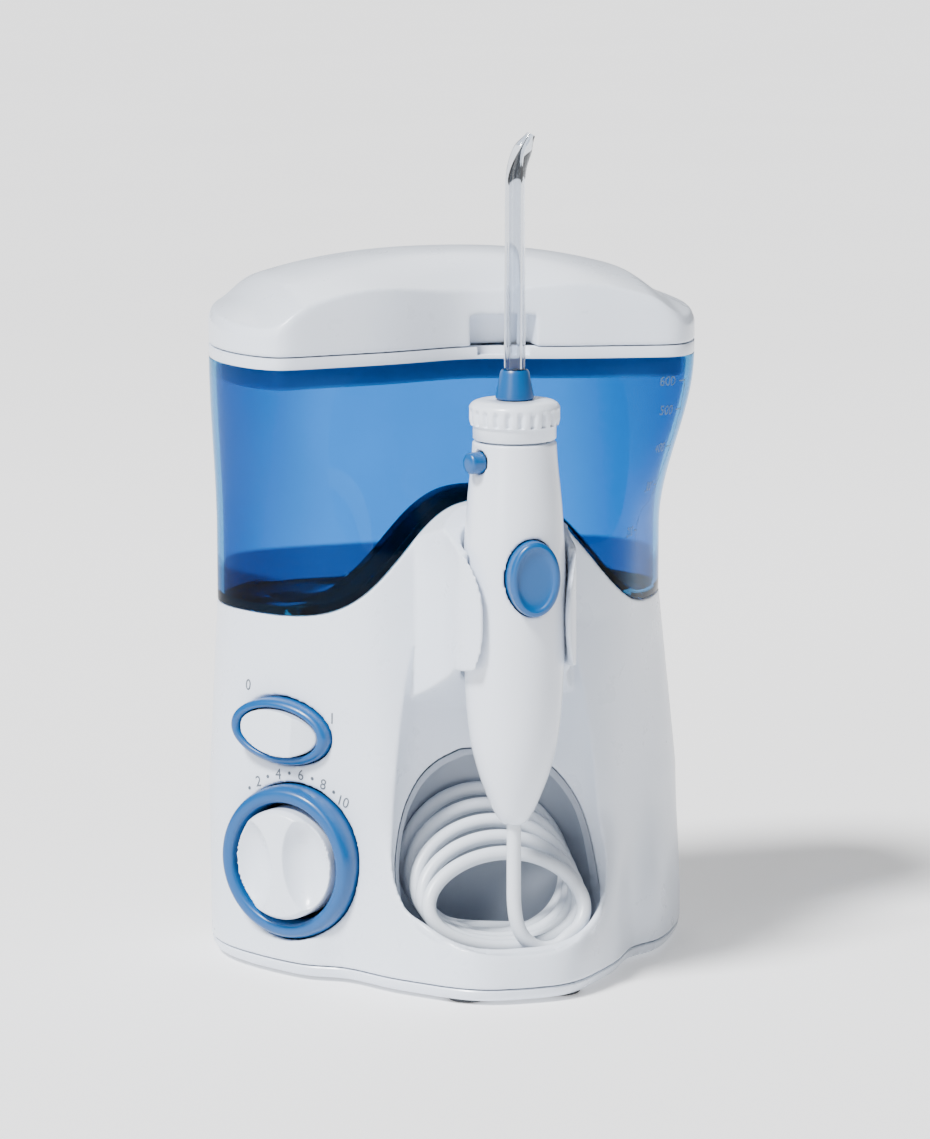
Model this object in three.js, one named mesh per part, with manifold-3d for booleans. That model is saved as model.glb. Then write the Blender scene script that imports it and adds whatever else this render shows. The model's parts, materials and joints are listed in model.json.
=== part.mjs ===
// Countertop water flosser: base with hose well, tank, hinged lid, handle with jet tip, and the pump inside.
// Millimetres, +Z up. The origin is on the floor below the middle of the object, and the front faces -Y.
import * as THREE from 'three';
import { mergeVertices } from 'three/addons/utils/BufferGeometryUtils.js';
import Module from 'manifold-3d';

const wasm = await Module();
wasm.setup();

// ---------------------------------------------------------------- driving dimensions
const gap = 0.3; // clearance between pieces that meet
const wall = 2.4; // housing wall
const seamZ = 4.6; // joint between the bottom tray and the housing
const deckZ = 105.5; // deck that carries the tank
const waveRise = 36; // how far the front tower rises over the deck
const waveHalfWidth = 34.5;
const rimZ = 180; // top of the tank
const lidTrayTopZ = 183.6;
const lidCrownZ = 210.6;
const lidSideZ = 196; // top of the lid's side wall
const tankWall = 2;
const tankFloorZ = 108.5;

const handleY = -45.5; // axis of the handle, over the front of the base
const handleBottomZ = 51;
const collarZ = 162.8; // bottom of the turning collar
const ringZ = 174.3; // bottom of the coloured ring on the jet tip
const cradleZ = [94, 131];

const hoseDiameter = 4.2;
const hoseRadius = hoseDiameter / 2;

const dialCentre = new THREE.Vector3(-56.3, -6.4, 34.6); // on the left flank
const switchCentre = new THREE.Vector3(-57.2, -0.8, 72.5);
const flankAngle = THREE.MathUtils.degToRad(48); // the flank's normal, turned left from the front
const dialTurn = THREE.MathUtils.degToRad(6); // the dial rests a little left of upright

// ---------------------------------------------------------------- finishes
const finish = (color, roughness, metalness = 0) => (
  new THREE.MeshStandardMaterial({ color, roughness, metalness }));
const whitePlastic = () => finish(0xe9edf5, 0.35);
const bluePlastic = () => finish(0x469bd7, 0.3);
const innerPlastic = () => finish(0xc9ced6, 0.5);
const steel = () => finish(0xb9bdc2, 0.3, 1);
const darkRubber = () => finish(0x3a3d42, 0.8);
const clearBlue = () => {
  const material = finish(0x3f8fd6, 0.1);
  material.transparent = true;
  material.opacity = 0.55;
  return material;
};
const clearPlastic = () => {
  const material = finish(0xdfe6ea, 0.08);
  material.transparent = true;
  material.opacity = 0.5;
  return material;
};

// ---------------------------------------------------------------- solids
function toSolid(geometry) {
  const bare = geometry.clone();
  bare.deleteAttribute('normal');
  bare.deleteAttribute('uv');
  const merged = mergeVertices(bare, 1e-4);
  return new wasm.Manifold(new wasm.Mesh({
    numProp: 3,
    vertProperties: new Float32Array(merged.attributes.position.array),
    triVerts: new Uint32Array(merged.index.array),
  }));
}

function toGeometry(solid) {
  const mesh = solid.getMesh();
  const geometry = new THREE.BufferGeometry();
  geometry.setAttribute('position', new THREE.BufferAttribute(new Float32Array(mesh.vertProperties), 3));
  geometry.setIndex(new THREE.BufferAttribute(new Uint32Array(mesh.triVerts), 1));
  geometry.computeVertexNormals();
  return geometry;
}

const flosser = new THREE.Group();

function addPiece(name, solid, material) {
  const geometry = solid instanceof THREE.BufferGeometry ? solid : toGeometry(solid);
  const mesh = new THREE.Mesh(geometry, material);
  mesh.name = name;
  flosser.add(mesh);
}

const joined = (...solids) => solids.reduce((whole, solid) => whole.add(solid));
const cutBy = (solid, ...cutters) => cutters.reduce((rest, cutter) => rest.subtract(cutter), solid);

// A closed skin over rings of points that all have the same count, lowest ring first.
// Each ring runs counter-clockwise seen from above.
function loft(rings) {
  const count = rings[0].length;
  const middle = (ring) => ring.reduce((sum, p) => sum.add(p), new THREE.Vector3()).divideScalar(count);
  const points = [...rings.flat(), middle(rings[0]), middle(rings.at(-1))];
  const index = [];
  const topStart = (rings.length - 1) * count;
  for (let i = 0; i < count; i += 1) {
    const next = (i + 1) % count;
    for (let level = 0; level < rings.length - 1; level += 1) {
      const low = level * count;
      const high = low + count;
      index.push(low + i, low + next, high + next, low + i, high + next, high + i);
    }
    index.push(points.length - 2, next, i);
    index.push(points.length - 1, topStart + i, topStart + next);
  }
  const geometry = new THREE.BufferGeometry();
  geometry.setAttribute('position', new THREE.Float32BufferAttribute(points.flatMap((p) => p.toArray()), 3));
  geometry.setIndex(index);
  return geometry;
}

const at = (x, y, z) => new THREE.Vector3(x, y, z);
const X = at(1, 0, 0);
const Y = at(0, 1, 0);
const Z = at(0, 0, 1);
const alongAxis = (geometry, axis, start) => {
  const turn = new THREE.Quaternion().setFromUnitVectors(Y, axis.clone().normalize());
  return geometry.applyQuaternion(turn).translate(start.x, start.y, start.z);
};

// A rod from a point along an axis.
function rod(radius, length, start, axis = Z, sides = 18, endRadius = radius) {
  const shape = new THREE.CylinderGeometry(endRadius, radius, length, sides).translate(0, length / 2, 0);
  return toSolid(alongAxis(shape, axis, start));
}

// A turned piece. Its profile is [radius, height] pairs from the axis round to the axis.
function turned(profile, start, axis = Z, sides = 32) {
  const shape = new THREE.LatheGeometry(profile.map(([r, h]) => new THREE.Vector2(r, h)), sides);
  return toSolid(alongAxis(shape, axis, start));
}

const tubeOf = (outer, inner, length, start, axis = Z, sides = 18) => {
  const overrun = axis.clone().normalize();
  return rod(outer, length, start, axis, sides)
    .subtract(rod(inner, length + 2, start.clone().sub(overrun), axis, sides));
};

const block = (from, to) => {
  const size = to.clone().sub(from);
  const centre = from.clone().add(to).multiplyScalar(0.5);
  return toSolid(new THREE.BoxGeometry(size.x, size.y, size.z).translate(centre.x, centre.y, centre.z));
};

// An outline in the X-Z plane, carried along Y.
function extrudeY(outline, fromY, toY) {
  const shape = new THREE.Shape(outline.map(([x, z]) => new THREE.Vector2(x, z)));
  const solid = new THREE.ExtrudeGeometry(shape, { depth: toY - fromY, bevelEnabled: false });
  return toSolid(solid.rotateX(Math.PI / 2).translate(0, toY, 0));
}

// An outline in the X-Y plane, carried along Z.
function extrudeZ(outline, fromZ, toZ) {
  const shape = new THREE.Shape(outline.map(([x, y]) => new THREE.Vector2(x, y)));
  const solid = new THREE.ExtrudeGeometry(shape, { depth: toZ - fromZ, bevelEnabled: false });
  return toSolid(solid.translate(0, 0, fromZ));
}

// An outline in the Y-Z plane, carried along X.
function extrudeX(outline, fromX, toX) {
  const shape = new THREE.Shape(outline.map(([y, z]) => new THREE.Vector2(y, z)));
  const solid = new THREE.ExtrudeGeometry(shape, { depth: toX - fromX, bevelEnabled: false });
  return toSolid(solid.applyMatrix4(new THREE.Matrix4().makeBasis(Y, Z, X)).translate(fromX, 0, 0));
}

const smooth = (from, to, value) => THREE.MathUtils.smoothstep(value, from, to);

// ---------------------------------------------------------------- outer form
// Half outlines of the body seen from above, front centre round to back centre, as B-spline control points.
const noseOutline = [[0, -58.2], [15.4, -57.9], [28.8, -42.5], [36.5, -34.3], [44.2, -18.6], [53.8, -16.9],
  [63.1, -3.1], [73.5, 16.6], [72.5, 37.8], [58.1, 61.4], [24, 64.3], [0, 64.3]];
const waistOutline = [[0, -28], [18, -28], [33, -28.5], [39, -23], [47, -14], [55, -6],
  [63.5, 4], [73, 20], [72, 41], [57.5, 61.5], [24, 64], [0, 64]];
const deckOutline = [[0, -24.5], [15, -24.5], [28, -24.5], [37, -22.5], [45.5, -14], [51.5, -4.5],
  [59, 7], [68, 24], [69, 43], [56, 60.5], [24, 63], [0, 63]];
const rimOutline = [[0, 1], [12, -2.6], [24, -6.6], [34, -8.5], [44, -10], [55, -12],
  [64, -12.5], [73.6, 8], [72.6, 35.8], [58.2, 60.5], [24, 63.3], [0, 63.3]];
const waistZ = 52;
const towerTopZ = 125;
const coreTopZ = 147;

const mixOutlines = (a, b, t) => a.map(([x, y], i) => [x + (b[i][0] - x) * t, y + (b[i][1] - y) * t]);

function halfOutline(z) {
  if (z < waistZ) return mixOutlines(noseOutline, waistOutline, smooth(10, waistZ, z));
  if (z < deckZ) return mixOutlines(waistOutline, deckOutline, (z - waistZ) / (deckZ - waistZ));
  return mixOutlines(deckOutline, rimOutline, smooth(towerTopZ, rimZ, z));
}

// Points of the closed uniform B-spline through a mirrored half outline, counter-clockwise from above.
function splineRing(half, count) {
  const mirrored = half.slice(1, -1).reverse().map(([x, y]) => [-x, y]);
  const poles = [...half, ...mirrored];
  const pole = (i) => poles[(i + poles.length) % poles.length];
  return Array.from({ length: count }, (_, i) => {
    const u = (i / count) * poles.length;
    const k = Math.floor(u);
    const t = u - k;
    const weights = [(1 - t) ** 3 / 6, (3 * t ** 3 - 6 * t ** 2 + 4) / 6,
      (-3 * t ** 3 + 3 * t ** 2 + 3 * t + 1) / 6, t ** 3 / 6];
    const sum = (axis) => weights.reduce((total, weight, j) => total + weight * pole(k + j - 1)[axis], 0);
    return [sum(0), sum(1)];
  });
}

// The same ring moved inwards by a distance.
function insetRing(ring, distance) {
  return ring.map(([x, y], i) => {
    const [ax, ay] = ring.at(i - 1);
    const [bx, by] = ring[(i + 1) % ring.length];
    const length = Math.hypot(bx - ax, by - ay);
    return [x - (distance * (by - ay)) / length, y + (distance * (bx - ax)) / length];
  });
}

const ringCount = 36;
const lift = (ring, z) => ring.map(([x, y]) => at(x, y, z));
const bodyRing = (z, inset = 0) => insetRing(splineRing(halfOutline(z), ringCount), inset);
const bodyLoft = (levels, inset = 0) => toSolid(loft(levels.map((z) => lift(bodyRing(z, inset), z))));

// The edge between the tower and the tank, as a height over x.
const waveZ = (x) => deckZ + waveRise * Math.exp(-((Math.abs(x) / waveHalfWidth) ** 2.9));

function aboveWave(raise) {
  const outline = [];
  for (let x = -84; x <= 84; x += 6) outline.push([x, waveZ(x) + raise]);
  outline.push([84, 260], [-84, 260]);
  return extrudeY(outline, -90, 90);
}

// The part of the tank that stands behind the tower, down on the deck.
function tankCore(lowZ, shrink) {
  const plan = bodyRing(coreTopZ).map(([x, y]) => [0.93 * x, 64 + 0.84 * (y - 64)]);
  return toSolid(loft([lowZ, coreTopZ + 3].map((z) => lift(insetRing(plan, shrink), z))));
}

// Half widths of the open valley in front of the base, and its back, over height.
const valleyLevels = [
  [14.5, 6, -17], [17, 20.5, -15.5], [20, 25.5, -15], [25, 29.8, -14.6], [32, 32, -14.2], [40, 33, -14],
  [60, 32.5, -14], [85, 30.2, -14.5], [100, 28.2, -16], [114, 25.6, -18.4], [127, 21.4, -20.8],
  [137, 14.4, -22.8], [142, 5, -24],
];
const valleyMiddleY = -34;
const valleyReach = 36;
const scoopSides = 20;

function valley(grow = 0) {
  const ring = ([z, halfWidth, back]) => Array.from({ length: scoopSides }, (_, i) => {
    const angle = (i / scoopSides) * 2 * Math.PI;
    const depth = Math.sin(angle) > 0 ? back + grow - valleyMiddleY : valleyReach;
    return at((halfWidth + grow) * Math.cos(angle), valleyMiddleY + depth * Math.sin(angle), z);
  });
  const rings = valleyLevels.map(ring);
  if (grow > 0) rings[0].forEach((point) => point.setZ(point.z - grow));
  return toSolid(loft(rings));
}

// Half widths of the hose well over height.
const wellLevels = [
  [9, 24.5], [10.8, 27.4], [20, 28.6], [34, 28.8], [48, 26], [57, 20.8], [62, 14.5], [65, 6],
];
const wellBackY = -2;
const wellFrontY = -49.6;

function well(grow = 0) {
  const middle = (wellBackY + wellFrontY) / 2;
  const depth = (wellBackY - wellFrontY) / 2 + grow;
  const squareness = 0.72; // below 1 the plan is fuller than an ellipse
  const ring = ([z, halfWidth]) => Array.from({ length: scoopSides }, (_, i) => {
    const angle = (i / scoopSides) * 2 * Math.PI;
    const push = (value) => Math.sign(value) * Math.abs(value) ** squareness;
    return at((halfWidth + grow) * push(Math.cos(angle)), middle + depth * push(Math.sin(angle)), z);
  });
  const rings = wellLevels.map(ring);
  rings[0].forEach((point) => point.setZ(point.z - grow));
  rings.at(-1).forEach((point) => point.setZ(point.z + grow));
  return toSolid(loft(rings));
}

// ---------------------------------------------------------------- flank controls
const flankNormal = at(-Math.sin(flankAngle), -Math.cos(flankAngle), 0);
const flankAcross = at(Math.cos(flankAngle), -Math.sin(flankAngle), 0);

// A point given across the flank, up it and out of it, from a centre.
const onFlank = (centre, across, up, out) => centre.clone()
  .addScaledVector(flankAcross, across).addScaledVector(Z, up).addScaledVector(flankNormal, out);

// Puts a piece drawn in X-Y, with +Z out of the face, onto the flank.
function toFlank(geometry, centre, roll = 0) {
  const basis = new THREE.Matrix4().makeBasis(flankAcross, Z, flankNormal);
  geometry.rotateZ(roll).applyMatrix4(basis);
  return toSolid(geometry.translate(centre.x, centre.y, centre.z));
}

const corners2 = (pairs) => pairs.map(([u, v]) => new THREE.Vector2(u, v));
const turnedFlat = (profile, sides) => new THREE.LatheGeometry(corners2(profile), sides).rotateX(Math.PI / 2);

const dialPocket = () => toFlank(turnedFlat([[0, -4.2], [23.1, -4.2], [23.1, 30], [0, 30]], 36), dialCentre);
const dialShaftHole = () => toFlank(turnedFlat([[0, -30], [5, -30], [5, 2], [0, 2]], 12), dialCentre);

const regulatorBack = -27; // inner end of the pressure regulator, behind the dial's face
const switchRoll = THREE.MathUtils.degToRad(-4);
const oval = (halfWidth, halfHeight, low, high) => new THREE.CylinderGeometry(1, 1, high - low, 24)
  .rotateX(Math.PI / 2).scale(halfWidth, halfHeight, 1).translate(0, 0, (low + high) / 2);
const switchPocket = () => toFlank(oval(17.4, 10, -3.4, 30), switchCentre, switchRoll);
const switchHole = () => toFlank(oval(13.6, 7, -20, 0), switchCentre, switchRoll);

function dialPieces() {
  const ringProfile = [[17.3, -3.9], [22.6, -3.9], [22.8, 2.6], [21, 5], [18.4, 5], [17.3, 3.4],
    [17.3, -3.9]];
  const ring = turnedFlat(ringProfile, 36);
  addPiece('dial_ring', toFlank(ring, dialCentre), bluePlastic());
  const cap = turnedFlat([[0, -3.5], [16.4, -3.5], [16.4, 6.2], [15.2, 8], [0, 8.2]], 32);
  const scoop = (side) => new THREE.SphereGeometry(1, 12, 8).scale(8.4, 14.6, 8.4)
    .translate(side * 10, 0, 10.6);
  const stem = rod(2.4, 15.6, onFlank(dialCentre, 0, 0, -19), flankNormal);
  const knob = cutBy(toFlank(cap, dialCentre), toFlank(scoop(1), dialCentre, dialTurn),
    toFlank(scoop(-1), dialCentre, dialTurn));
  addPiece('dial_knob', knob.add(stem), whitePlastic());
  const regulator = rod(8, 18, onFlank(dialCentre, 0, 0, regulatorBack), flankNormal);
  const stemBore = rod(2.8, 16, onFlank(dialCentre, 0, 0, -20), flankNormal);
  addPiece('pressure_regulator', regulator.subtract(stemBore), innerPlastic());
}

function switchPieces() {
  const rim = toFlank(oval(17, 9.6, -3.1, 3), switchCentre, switchRoll);
  const lip = toFlank(oval(15.6, 8.4, 2, 4), switchCentre, switchRoll);
  const opening = toFlank(oval(13.9, 7.2, -8, 12), switchCentre, switchRoll);
  addPiece('switch_bezel', rim.add(lip).subtract(opening), bluePlastic());
  const crown = [[-13.3, -2.6], [13.3, -2.6], [13.3, 2.6], [6.5, 6.4], [-13.3, 3.4]];
  const crownShape = new THREE.Shape(corners2(crown));
  const crest = new THREE.ExtrudeGeometry(crownShape, { depth: 20, bevelEnabled: false })
    .rotateX(Math.PI / 2).translate(0, 10, 0);
  const rocker = toFlank(oval(13.3, 6.7, -2.6, 8), switchCentre, switchRoll)
    .intersect(toFlank(crest, switchCentre, switchRoll));
  addPiece('switch_rocker', rocker, whitePlastic());
  const body = toFlank(new THREE.BoxGeometry(18, 9.6, 10).translate(0, 0, -10.8), switchCentre, switchRoll);
  addPiece('power_switch', body, darkRubber());
}

// ---------------------------------------------------------------- base
const handleAxis = (z) => at(0, handleY, z);

// The C-shaped cradle that grows from the tower and clips round the handle.
function cradle() {
  const [low, high] = cradleZ;
  const bore = 15.3;
  const outer = 17.8;
  const side = [];
  for (let degrees = -42; degrees <= 0; degrees += 10.5) {
    const angle = THREE.MathUtils.degToRad(degrees);
    side.push([outer * Math.cos(angle), handleY + outer * Math.sin(angle)]);
  }
  side.push([18.6, -37], [21.5, -28], [25, -21], [24, -13]);
  const outline = [...side, ...side.map(([x, y]) => [-x, y]).reverse()];
  const window = [[-17.5, low - 3], [17.5, low - 3]];
  for (let z = low; z <= high; z += 5) window.push([12.4 + 4.2 * ((z - 112) / 19) ** 2, z]);
  window.push([17.5, high + 3], [-17.5, high + 3]);
  for (let z = high; z >= low; z -= 5) window.push([-12.4 - 4.2 * ((z - 112) / 19) ** 2, z]);
  const topSlope = [
    [-64, high - 4], [-57, high - 2.5], [-25, high + 9.5], [-25, high + 19], [-64, high + 19],
  ];
  const underSlope = [[-64, low - 20], [-10, low - 20], [-14, low - 14], [-45, low + 2.5], [-64, low + 5]];
  const blank = extrudeZ(outline, low - 14, high + 11);
  const slopes = [extrudeX(topSlope, -40, 40), extrudeX(underSlope, -40, 40)];
  const handleBore = rod(bore, 80, handleAxis(80), Z, 36);
  return cutBy(blank, ...slopes, handleBore, extrudeY(window, -70, handleY - 4));
}

const valveSeat = at(-20, 40, 0); // where the tank's valve meets the deck
const onSeat = (z) => valveSeat.clone().setZ(z);
const footPlaces = [[-52, 20], [52, 20], [-44, 52], [44, 52], [-14, -46], [14, -46]];
const screwPlaces = [[-50, 44], [50, 44], [-30, -12], [30, -12]];
const cordInlet = at(34, 63, 18); // in the back wall
const linerWall = 1.6;
const hoseFloorZ = 13.2; // the hose's centre line where it lies on the well's floor
const hoseLeadY = -20.6;

function baseHousing() {
  const levels = [seamZ + gap, 12, 19, 26, 36, waistZ, deckZ, towerTopZ, 135, 147];
  const tankSpace = aboveWave(0).add(tankCore(deckZ, -gap));
  const inside = cutBy(bodyLoft([seamZ - 2, 19, 34, waistZ, deckZ - wall], wall),
    valley(wall), well(linerWall + gap + 1.8));
  const shell = bodyLoft(levels).subtract(inside);
  const seat = rod(8, 6, onSeat(deckZ - 8));
  const posts = screwPlaces.map(([x, y]) => joined(rod(3.6, 14, at(x, y, seamZ + gap + 0.6), Z, 10),
    block(at(x - 1, y, seamZ + 8), at(x + 1, y + 20, seamZ + 14))));
  const insidePosts = joined(...posts).intersect(bodyLoft([seamZ, 20], 1));
  const hollowed = joined(shell, seat, insidePosts).subtract(valley()).add(cradle());
  return cutBy(hollowed, tankSpace, well(linerWall + gap),
    rod(4.4, 20, onSeat(deckZ - 14)), rod(5.3, 6, onSeat(deckZ - 1.9)),
    ...screwPlaces.map(([x, y]) => rod(1.5, 12, at(x, y, 2), Z, 8)), dialPocket(), dialShaftHole(),
    switchPocket(), switchHole(), rod(3.4, 18, at(20, hoseLeadY, hoseFloorZ), X, 16),
    rod(4.3, 20, at(cordInlet.x, cordInlet.y - 12, cordInlet.z), Y, 16),
    rod(6.2, 9, at(cordInlet.x, cordInlet.y - 1.8, cordInlet.z), Y, 20));
}

function basePieces() {
  addPiece('base_housing', baseHousing(), whitePlastic());
  const liner = cutBy(well(linerWall), well(), valley());
  const glandHole = rod(3.4, 18, at(20, hoseLeadY, hoseFloorZ), X, 16);
  addPiece('hose_well', liner.subtract(glandHole), innerPlastic());
  const trayRing = (inset, z) => lift(insetRing(bodyRing(seamZ), inset), z);
  const tray = toSolid(loft([trayRing(3, 1.2), trayRing(0.9, 2.4), trayRing(0.3, seamZ)]));
  const hollow = toSolid(loft([trayRing(3.4, 3.4), trayRing(3.4, seamZ + 2)]));
  const feet = footPlaces.map(([x, y]) => rod(6.3, 1.6, at(x, y, 0.6), Z, 16));
  const holes = screwPlaces.map(([x, y]) => rod(1.9, 6, at(x, y, 0), Z, 8));
  const sinks = screwPlaces.map(([x, y]) => rod(3.6, 1.4, at(x, y, 1), Z, 12));
  addPiece('base_tray', cutBy(tray, hollow, ...feet, ...holes, ...sinks), whitePlastic());
  footPlaces.forEach(([x, y], i) => {
    addPiece(`foot_${i + 1}`, rod(6, 1.9, at(x, y, 0), Z, 16), darkRubber());
  });
  screwPlaces.forEach(([x, y], i) => {
    const screw = rod(1.2, 10, at(x, y, 2.2), Z, 8).add(rod(3, 1.1, at(x, y, 1.3), Z, 12));
    addPiece(`tray_screw_${i + 1}`, screw, steel());
  });
  const { x, y, z } = cordInlet;
  const gland = joined(rod(4, 6, at(x, y - 6, z), Y, 16), rod(5.8, 1.9, at(x, y - 1.5, z), Y, 20));
  addPiece('cord_gland', gland.subtract(rod(2.2, 12, at(x, y - 8, z), Y, 12)), darkRubber());
}

// ---------------------------------------------------------------- tank
function tankPieces() {
  const levels = [deckZ, towerTopZ, 136, 147, 158, 169, rimZ];
  const outside = bodyLoft(levels).intersect(aboveWave(gap).add(tankCore(deckZ + gap, gap / 2)));
  const mouthRing = (z) => lift(insetRing(splineRing(rimOutline, ringCount), tankWall), z);
  const mouth = toSolid(loft([mouthRing(rimZ - 1), mouthRing(rimZ + 1)]));
  const inside = bodyLoft(levels, tankWall).add(mouth)
    .intersect(aboveWave(gap + tankWall).add(tankCore(tankFloorZ, tankWall)));
  const valveHole = rod(5.2, 8, onSeat(deckZ - 1));
  addPiece('tank', cutBy(outside, inside, valveHole), clearBlue());
  const body = joined(rod(4.9, 5.2, onSeat(deckZ - 1.6)), rod(7.6, 1.6, onSeat(tankFloorZ + gap)));
  addPiece('tank_valve_body', body.subtract(rod(2.6, 12, onSeat(deckZ - 4))), whitePlastic());
  const plunger = joined(rod(1.4, 9, onSeat(deckZ - 3.4), Z, 12), rod(5, 1.2, onSeat(deckZ + 5.2)));
  addPiece('tank_valve_plunger', plunger, bluePlastic());
  const seal = tubeOf(4.1, 2.6, 2.4, onSeat(deckZ - 4.4));
  addPiece('valve_seat_seal', seal, darkRubber());
}

// ---------------------------------------------------------------- lid
const lidMiddleY = 28;
const ledge = (x) => 1 - smooth(52, 64, Math.abs(x));

// Height of the lid's upper face over the plan.
function lidHeight(x, y) {
  const dome = lidCrownZ - 13.6 * (Math.abs(x) / 72) ** 2.3 - 5.5 * ((y - lidMiddleY) / 38) ** 2;
  const frontSlope = 8 * Math.exp(-((x / 24) ** 2)) * Math.exp(-(((y + 6) / 19) ** 2));
  return Math.max(dome - frontSlope - 3.5 * (1 - ledge(x)), lidTrayTopZ + 4);
}

function lidSkin(inset, drop) {
  const rim = insetRing(splineRing(rimOutline, ringCount), inset);
  const shrunk = (scale) => rim.map(([x, y]) => [x * scale, lidMiddleY + (y - lidMiddleY) * scale]);
  const cap = (scale) => shrunk(scale).map(([x, y]) => at(x, y, lidHeight(x, y) - drop));
  const lower = lift(shrunk(1), lidTrayTopZ + gap);
  const middle = cap(0.985).map((p, i) => at(rim[i][0], rim[i][1], Math.min(p.z - 2.5, lidSideZ)));
  return loft([lower, middle, cap(0.985), cap(0.92), cap(0.78), cap(0.58), cap(0.34)]);
}

const hingeY = 60.5;
const hingeZ = 188;
const notchX = 9.5; // the finger notch is right of the middle

function lidPieces() {
  const rim = (inset) => insetRing(splineRing(rimOutline, ringCount), inset);
  const band = toSolid(loft([rimZ + gap, lidTrayTopZ].map((z) => lift(rim(0), z))));
  const plug = toSolid(loft([rimZ - 6, rimZ + 1].map((z) => lift(rim(3.6), z))));
  const hollow = toSolid(loft([rimZ - 4.4, lidTrayTopZ + 1].map((z) => lift(rim(5.6), z))));
  const fill = extrudeZ([[-10, 48], [10, 48], [10, 57], [-10, 57]], rimZ - 8, rimZ + 8);
  const tips = [-30, -18, -6, 6, 18, 30].map((x) => tubeOf(4.6, 3.4, 7, at(x, 26, rimZ - 5), Z, 12));
  const ears = [-1, 1].map((side) => block(at(side * 15 - 3, hingeY - 3, lidTrayTopZ - 2),
    at(side * 15 + 3, hingeY + 2.6, hingeZ + 2.4)));
  const pinHole = rod(1.4, 60, at(-30, hingeY, hingeZ), X, 12);
  const turnRelief = block(at(-60, hingeY - 6, lidTrayTopZ - 1.3), at(60, hingeY + 6, lidTrayTopZ + 1));
  const underNotch = block(at(notchX - 7.5, -12, rimZ + 1.3), at(notchX + 7.5, 5.5, lidTrayTopZ + 1))
    .subtract(toSolid(loft([rimZ, lidTrayTopZ + 2].map((z) => lift(rim(3.4), z)))));
  addPiece('lid_tray', cutBy(joined(band, plug), hollow, fill, pinHole, turnRelief, underNotch)
    .add(joined(...tips)).add(cutBy(joined(...ears), pinHole)), whitePlastic());
  const shell = toSolid(lidSkin(0, 0)).subtract(toSolid(lidSkin(wall, wall)).translate([0, 0, -gap]));
  const notch = block(at(notchX - 9.5, -12, lidTrayTopZ - 1), at(notchX + 9.5, 5.5, lidTrayTopZ + 9.6));
  const pocket = block(at(notchX - 11.5, -12, lidTrayTopZ), at(notchX + 11.5, 7.5, lidTrayTopZ + 11.6));
  const frame = pocket.intersect(toSolid(lidSkin(0.1, 0.1)));
  const hingeRelief = [-1, 1].map((side) => block(at(side * 15 - 3.6, hingeY - 4, lidTrayTopZ),
    at(side * 15 + 3.6, hingeY + 3.4, hingeZ + 4.4)));
  const knuckles = [-24, 0, 24].map((x) => rod(2.6, 9, at(x - 4.5, hingeY, hingeZ), X, 12));
  const webs = [-24, 0, 24].map((x) => block(at(x - 4.5, hingeY - 1.5, hingeZ),
    at(x + 4.5, hingeY + 1.5, hingeZ + 6)));
  const cover = joined(cutBy(shell.add(frame), notch, ...hingeRelief), ...knuckles, ...webs)
    .intersect(toSolid(lidSkin(0, 0)));
  addPiece('lid_cover', cover.subtract(rod(1.4, 70, at(-35, hingeY, hingeZ), X, 12)), whitePlastic());
  addPiece('lid_hinge_pin', rod(1.1, 56, at(-28, hingeY, hingeZ), X, 12), steel());
}

// ---------------------------------------------------------------- handle
const handleProfile = [[3.2, handleBottomZ], [4.6, 52.6], [6.2, 55.5], [8.1, 60], [10.1, 65.5], [12.1, 73],
  [13.3, 81], [14, 90], [14.6, 105], [14.75, 115], [14.6, 128], [13.7, 143], [12.4, 156],
  [12, collarZ - 0.6]];

const buttonCentre = at(1.2, handleY, 124.8);
const ejectZ = 156.9;
const latchZ = 152.6;
const ejectAngle = THREE.MathUtils.degToRad(72); // turned left from the front
const ejectOut = at(-Math.sin(ejectAngle), -Math.cos(ejectAngle), 0);

function buttonOval(halfWidth, halfHeight, from, to, sides = 24) {
  const shape = new THREE.CylinderGeometry(1, 1, to - from, sides).scale(halfWidth, 1, halfHeight);
  return toSolid(shape.translate(buttonCentre.x, handleY - (from + to) / 2, buttonCentre.z));
}

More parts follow.
